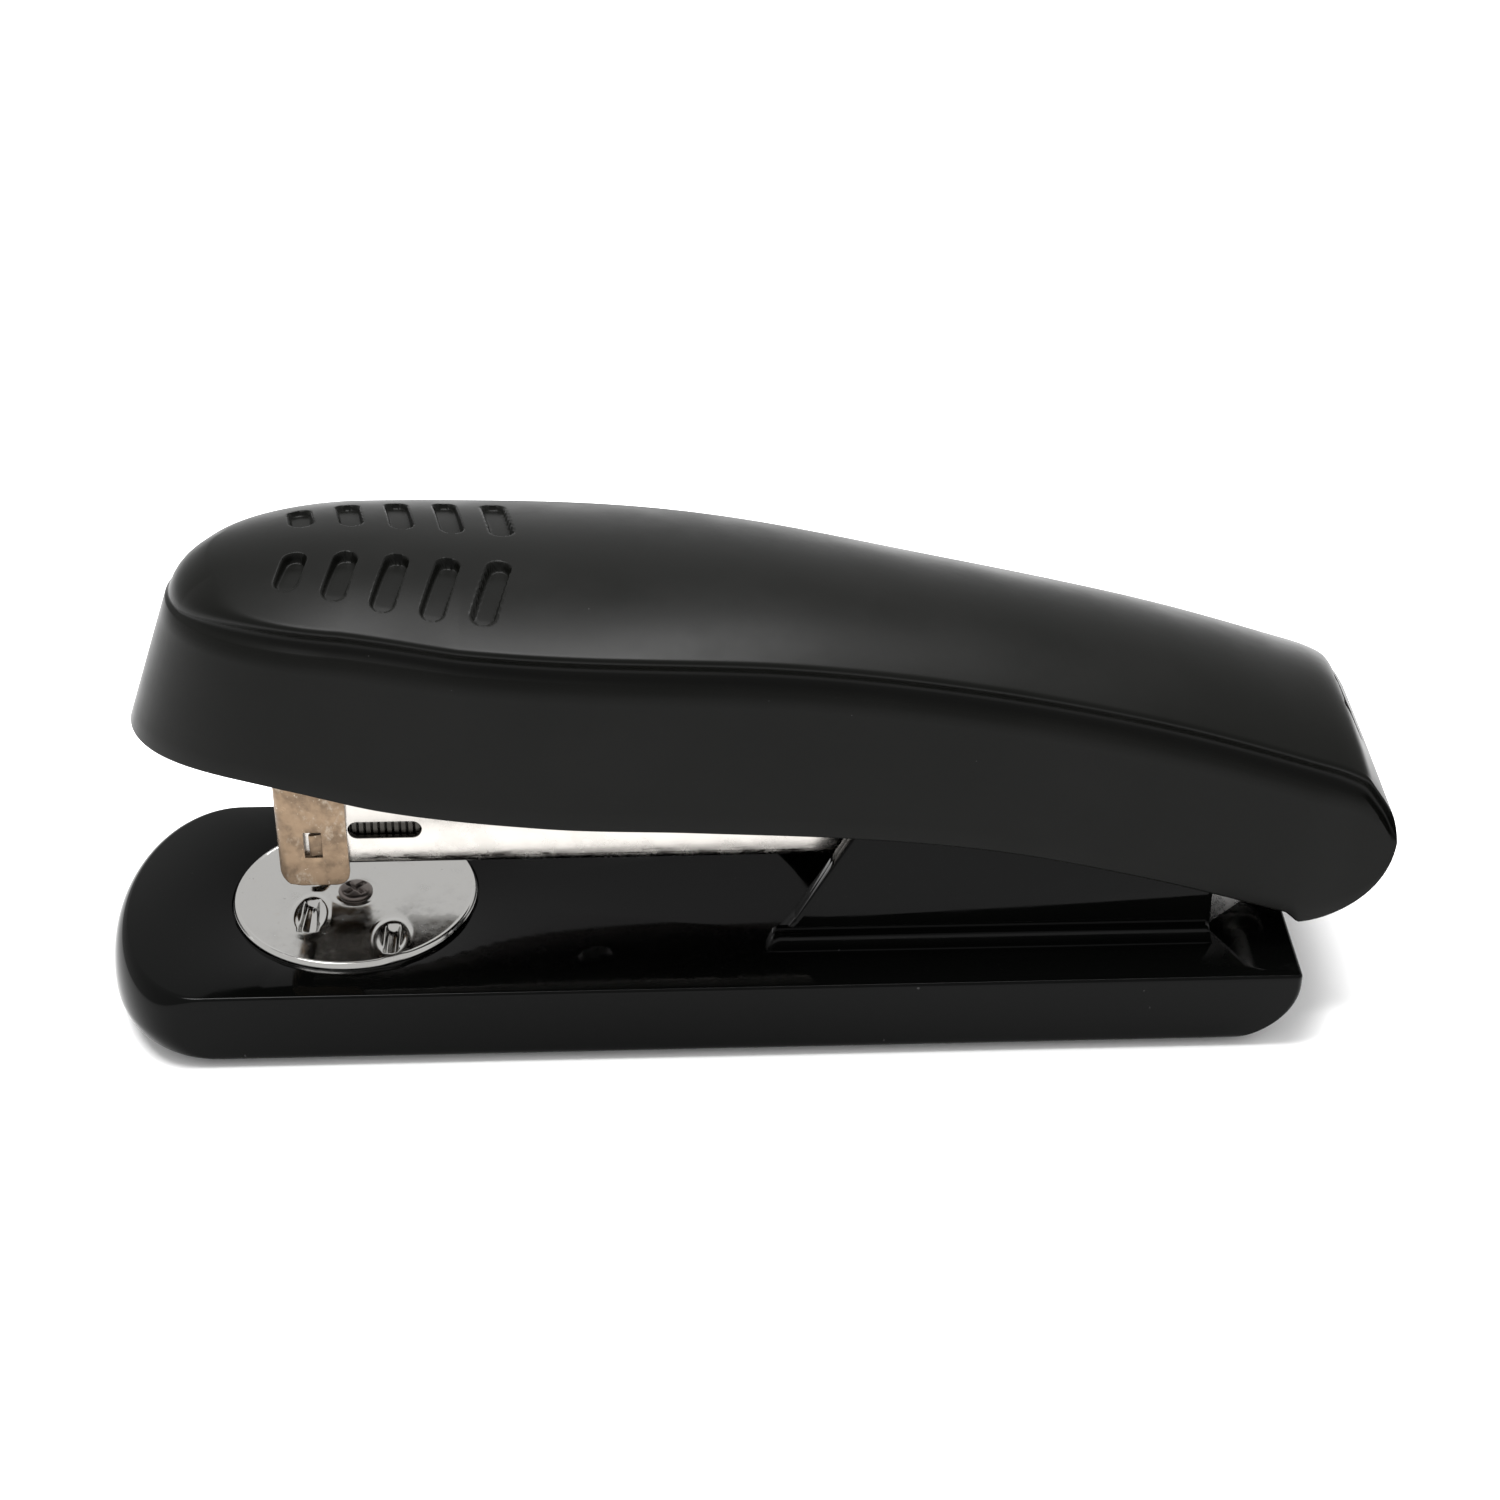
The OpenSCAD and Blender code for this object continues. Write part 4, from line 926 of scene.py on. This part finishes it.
def anvil_rivet():
    """Domed rivet head with a pressed cross in it."""
    count = 96
    angles = np.arange(count) * 2 * math.pi / count
    head_r = 1.9
    head_z = ANVIL_TOP + 0.03
    rings = []
    radii = np.concatenate([np.linspace(0.04, head_r - 0.25, 24), head_r - np.array([0.16, 0.08, 0.03, 0])])
    for r in radii:
        edge = np.clip((r - head_r + 0.4) / 0.4, 0, 1)
        z = head_z + 0.6 - 0.1 * (r / head_r) ** 2 - 0.34 * (1 - np.sqrt(1 - edge**2))
        x, y = r * np.cos(angles), r * np.sin(angles)
        arms = []
        for b in (0.785, 2.356):
            across = np.abs(x * np.cos(b) + y * np.sin(b)) / 0.2
            along = np.abs(y * np.cos(b) - x * np.sin(b)) / 0.85
            arms.append(np.maximum(across, along))
        recess = 0.38 * smoothstep(2.2 - 1.2 * np.minimum(*arms))
        rings.append(np.column_stack([x, y, z - recess]))
    shank_r = 1.5
    foot = (shank_r, low("anvil_post")[2])
    for r, z in ((head_r, head_z + 0.08), (head_r - 0.06, head_z), (shank_r, head_z), foot):
        rings.append(np.column_stack([r * np.cos(angles), r * np.sin(angles), np.full(count, z)]))
    verts = np.vstack(rings) + [ANVIL_X, 0, 0]
    faces = grid_faces(len(rings), count, wrap=True, flip=True)
    faces.append(tuple(range(count)))
    faces.append(tuple((len(rings) - 1) * count + k for k in range(count))[::-1])
    piece = new_piece("anvil_rivet", verts, faces, 45)
    return place(piece, "anvil_stem", "dark_steel", MATERIALS["dark_steel"], "anvil_post")


anvil_plate()
anvil_rivet()

# Magazine -------------------------------------------------------------------
CHANNEL_LOW = low("staple_channel")
CHANNEL_TOP = 29.4
SHEET = 0.7
EAR = 4.1


def staple_channel():
    """Bent channel: two side plates with a window each, over a floor with rounded bends."""
    bend = 1.0
    x0 = CHANNEL_LOW[0]
    z0 = CHANNEL_LOW[2]
    half = high("staple_channel")[1]
    floor_end = high("staple_rail")[0] + 3
    shape = [(x0, z0 + bend), (hinge_x - 9, z0 + bend)]
    shape += arc(hinge_x, hinge_z, EAR, -70, 60, 16)
    shape += [(hinge_x - 9, CHANNEL_TOP), (x0, CHANNEL_TOP)]
    wx, wz, half_len, r = x0 + 9.7, z0 + 4.6, 2.9, 1.0
    window = arc(wx + half_len, wz, r, -90, 90, 12) + arc(wx - half_len, wz, r, 90, 270, 12)
    pieces = [plate("side", shape, s * (half - SHEET / 2), SHEET, 0.1, [window]) for s in (-1, 1)]
    outer = arc(half - bend, z0 + bend, bend, 0, -90, 8)
    inner = arc(half - bend, z0 + bend, bend - SHEET, -90, 0, 8)
    right = outer + [(0, z0)]
    left = [(-y, z) for y, z in outer[::-1]]
    back = [(-y, z) for y, z in inner[::-1]]
    ring = right + left + back + [(0, z0 + SHEET)] + inner
    rings = [[(x, y, z) for y, z in ring] for x in (x0, x0 + 0.05, floor_end - 0.05, floor_end)]
    n = len(ring)
    faces = grid_faces(len(rings), n, wrap=True)
    faces.append(tuple(range(n))[::-1])
    faces.append(tuple(3 * n + k for k in range(n)))
    pieces.append(new_piece("floor", np.array(rings).reshape(-1, 3), faces, 40))
    piece = join("channel_sheet", pieces)
    return place(piece, "magazine", "plated_steel", MATERIALS["plated_steel"], "staple_channel")


def high_y(piece):
    return max(abs(v.co.y) for v in piece.data.vertices) / MM


def nose_guide():
    """Sheet wrapped around the channel's nose, with round lower corners and a lanced tab in each side."""
    a, b = low("nose_guide"), high("nose_guide")
    half = 7.8
    t = 0.6
    r = 1.1
    corner = 1.5
    length = b[0] - a[0] - r
    tab = (2.7, 4.6, 20.0, 23.2)
    along = (0, 0.12, 0.35, 0.75, 1.1, 1.5, 2.1, 2.7, 3.15, 3.7, 4.15, 4.6, 5.2, length)
    path = [(b[0] - d, -half) for d in along]
    turns = np.radians([15, 30, 45, 60, 75])
    path += [(a[0] + r - r * math.sin(k), -half + r - r * math.cos(k)) for k in turns]
    path += [(a[0], y) for y in np.linspace(-half + r, 0, 6)]
    path += [(x, -y) for x, y in path[-2::-1]]
    path = np.array(path)
    run = np.concatenate([[0], np.cumsum(np.linalg.norm(np.diff(path, axis=0), axis=1))])
    levels = [0, 0.12, 0.3, 0.6, 1.0, 1.5, 2.2, 2.9, tab[2] - a[2], 4.4, 5.6, 6.4, tab[3] - a[2], 8, 10]
    levels = np.array(levels + [b[2] - a[2]])
    verts = []
    for (x, y), s in zip(path, run):
        u = min(s, run[-1] - s)
        d = corner - min(u, corner)
        lift = corner - math.sqrt(max(corner**2 - d**2, 0))
        near_bend = np.clip((u - length + 0.6) / 2.6, 0, 1)
        lift = max(lift, 1.7 * float(smoothstep(near_bend)))
        for z in levels:
            verts.append((x, y, a[2] + z + lift * (1 - z / levels[-1]) ** 3 * (1 if z < 6 else 0)))
    cols = len(levels)
    faces = []
    for i in range(len(path) - 1):
        u = min((run[i] + run[i + 1]) / 2, run[-1] - (run[i] + run[i + 1]) / 2)
        for k in range(cols - 1):
            z = a[2] + (levels[k] + levels[k + 1]) / 2
            if tab[0] < u < tab[1] and tab[2] < z < tab[3]:
                continue
            p = i * cols + k
            faces.append((p, p + cols, p + cols + 1, p + 1))
    piece = new_piece("guide_wrap", verts, faces, 60)
    m = piece.modifiers.new("sheet", "SOLIDIFY")
    m.thickness = t * MM
    m.offset = -1
    bake_modifiers(piece)
    if high_y(piece) > half + 0.05:
        raise SystemExit("the nose guide's sheet has grown outward")
    piece = bevel(piece, 0.07)
    tongues = []
    for s in (-1, 1):
        x0, x1 = b[0] - tab[0] + 0.05, b[0] - tab[1] + 0.55
        profile = [(x0, 0.0), (x0 - 0.5, 0.1), (x1 + 0.3, 0.28), (x1, 0.18), (x1, -0.22), (x0, -0.4)]
        rings = [[(x, s * (half - 0.12 + d), z) for x, d in profile] for z in (tab[2] + 0.3, tab[3] - 0.3)]
        n = len(profile)
        caps = [tuple(range(n)), tuple(n + k for k in range(n))[::-1]]
        part = new_piece("tongue", np.array(rings).reshape(-1, 3), grid_faces(2, n, wrap=True) + caps)
        tongues.append(bevel(part, 0.08))
    piece = join("guide_wrap", [piece, *tongues])
    return place(piece, "magazine", "bronzed_steel", MATERIALS["bronzed_steel"], "nose_guide")


def staple_strip():
    """Fifty separate staples of rounded wire, glued side by side."""
    a, b = low("staple_strip"), high("staple_strip")
    count = 50
    pitch = (b[0] - a[0]) / count
    wire = 0.5
    half = b[1] - wire / 2
    top = b[2] - wire / 2
    r = 0.35
    path = [(-half, a[2]), (-half, top - r)]
    path += [(-half + r - r * math.cos(k), top - r + r * math.sin(k)) for k in np.radians([30, 60, 90])]
    path += [(-y, z) for y, z in path[::-1]]
    path = np.array(path)
    t = np.gradient(path, axis=0)
    t /= np.linalg.norm(t, axis=1)[:, None]
    normal = np.column_stack([-t[:, 1], t[:, 0]])
    wide = pitch - 0.03
    corners = (
        (-1, -1, 0, 0.12), (-1, 1, 0, 0.12), (-1, 1, 0.14, 0), (1, 1, 0.14, 0),
        (1, 1, 0, 0.12), (1, -1, 0, 0.12), (1, -1, 0.14, 0), (-1, -1, 0.14, 0),
    )
    shape = [(sx * (wide / 2 - c), sn * (wire / 2 - d)) for sx, sn, c, d in corners]
    verts, faces = [], []
    n = len(shape)
    for i in range(count):
        x = a[0] + pitch * (i + 0.5)
        start = len(verts)
        for p, d in zip(path, normal):
            verts += [(x + u, p[0] + d[0] * v, p[1] + d[1] * v) for u, v in shape]
        faces += grid_faces(len(path), n, start, wrap=True)
        faces.append(tuple(start + k for k in range(n))[::-1])
        faces.append(tuple(start + (len(path) - 1) * n + k for k in range(n)))
    piece = new_piece("staples", verts, faces, 30)
    return place(piece, "magazine", "staple_wire", MATERIALS["staple_wire"], "staple_strip")


staple_channel()
nose_guide()
staple_strip()


# Springs --------------------------------------------------------------------
def coil(name, start, end, radius, wire, turns):
    """A coil whose axis runs from start to end, with closed end turns."""
    steps = 20
    start, end = np.array(start, float), np.array(end, float)
    axis = (end - start) / np.linalg.norm(end - start)
    u = np.array([0, 1, 0]) if abs(axis[1]) < 0.5 else np.array([1, 0, 0])
    v = np.cross(axis, u)
    length = np.linalg.norm(end - start) - 2 * wire
    total = turns * steps
    path = []
    for i in range(total + 1):
        t = i / total
        closed = 1.2 / turns
        along = np.interp(t, [0, closed, 1 - closed, 1], [0, wire * 2.3 / length, 1 - wire * 2.3 / length, 1])
        a = 2 * math.pi * turns * t
        path.append(start + axis * (wire + along * length) + radius * (math.cos(a) * u + math.sin(a) * v))
    return tube(name, path, wire, 10, axis)


def leaf(name, points, width, thickness):
    """A leaf spring: a smooth strip below a line in the XZ plane, with rounded corners at its free end."""
    line = curve_through(points, 8)
    run = np.gradient(line, axis=0)
    run /= np.linalg.norm(run, axis=1)[:, None]
    normal = np.column_stack([-run[:, 1], run[:, 0]])
    along = np.concatenate([[0], np.cumsum(np.linalg.norm(np.diff(line, axis=0), axis=1))])
    rings = []
    for (x, z), (nx, nz), s in zip(line, normal, along):
        round_off = 1 - 0.3 * float(1 - smoothstep(s / 2.5))
        w = width / 2 * round_off
        under = (x - thickness * nx, z - thickness * nz)
        ring = [(x, y, z) for y in (-w, 0, w)]
        rings.append(ring + [(under[0], y, under[1]) for y in (w, 0, -w)])
    faces = grid_faces(len(rings), 6, wrap=True)
    faces.append(tuple(range(6))[::-1])
    faces.append(tuple((len(rings) - 1) * 6 + k for k in range(6)))
    return bevel(new_piece(name, np.array(rings).reshape(-1, 3), faces), 0.06)


def springs():
    """The three springs whose ends are on different bodies."""
    wire = 0.25
    a, b = low("pusher_spring"), high("pusher_spring")
    z = (a[2] + b[2]) / 2
    piece = coil("rod_coil", (a[0], 0, z), (b[0], 0, z), 1.5, wire, 16)
    piece.data.materials.append(MATERIALS["spring_steel"])
    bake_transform(piece)
    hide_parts("pusher_spring")
    a, b = low("anvil_spring"), high("anvil_spring")
    radius = (b[0] - a[0]) / 2 - wire
    piece = coil("anvil_coil", (ANVIL_X, 0, b[2]), (ANVIL_X, 0, a[2]), radius, wire, 4)
    piece.data.materials.append(MATERIALS["spring_steel"])
    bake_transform(piece)
    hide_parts("anvil_spring")
    a, b = low("magazine_spring"), high("magazine_spring")
    points = [(a[0], b[2] - 0.34), (a[0] + 3, b[2] - 0.03), (a[0] + 6, b[2] - 0.5)]
    points += [(b[0] - 5, a[2] + 1.15), (b[0] - 1.4, a[2] + 0.4), (b[0], a[2] + 0.4)]
    piece = leaf("magazine_leaf", points, b[1] * 2, 0.4)
    piece.data.materials.append(MATERIALS["spring_steel"])
    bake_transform(piece)
    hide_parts("magazine_spring")


springs()

# CAD nodes that keep their shape ---------------------------------------------
CARRIED = {
    "sole_rubber": ["base_sole"],
    "satin_black": ["anvil_button"],
    "plain_steel": [
        "hinge_bracket", "bracket_screws", "hinge_pin", "staple_rail", "rail_rivets",
        "pusher_rod", "rod_stop", "handle_lever", "cover_screws", "blade_rivets",
    ],
    "dark_steel": ["pin_clip", "pusher"],
    "spring_steel": ["driver_blade", "handle_spring"],
}
for key, names in CARRIED.items():
    for name in names:
        frame["nodes"][name].data.materials.clear()
        frame["nodes"][name].data.materials.append(MATERIALS[key])


# Floor and light --------------------------------------------------------------
def add_floor():
    size = 3.0
    mesh = bpy.data.meshes.new("floor")
    corners = [(-size, -size, 0), (size, -size, 0), (size, size, 0), (-size, size, 0)]
    mesh.from_pydata(corners, [], [(0, 1, 2, 3)])
    floor = bpy.data.objects.new("floor", mesh)
    bpy.context.scene.collection.objects.link(floor)
    f = Finish("floor", (0.93, 0.93, 0.93), 0.9, specular=0.1)
    mesh.materials.append(f.material)


def add_softbox(name, place_at, aim, size, power):
    data = bpy.data.lights.new(name, "AREA")
    data.shape = "RECTANGLE"
    data.size, data.size_y = size
    data.energy = power
    light = bpy.data.objects.new(name, data)
    light.location = place_at
    light.rotation_euler = (Vector(aim) - Vector(place_at)).to_track_quat("-Z", "Y").to_euler()
    bpy.context.scene.collection.objects.link(light)


def add_world(level):
    world = bpy.data.worlds.new("studio")
    world.use_nodes = True
    background = world.node_tree.nodes["Background"]
    background.inputs["Color"].default_value = (1, 1, 1, 1)
    background.inputs["Strength"].default_value = level
    bpy.context.scene.world = world


add_floor()
bpy.context.scene.view_settings.view_transform = "Standard"
add_world(1.0)
add_softbox("overhead", (-0.05, 0.08, 0.7), (0, 0, 0.02), (0.7, 0.22), 12)
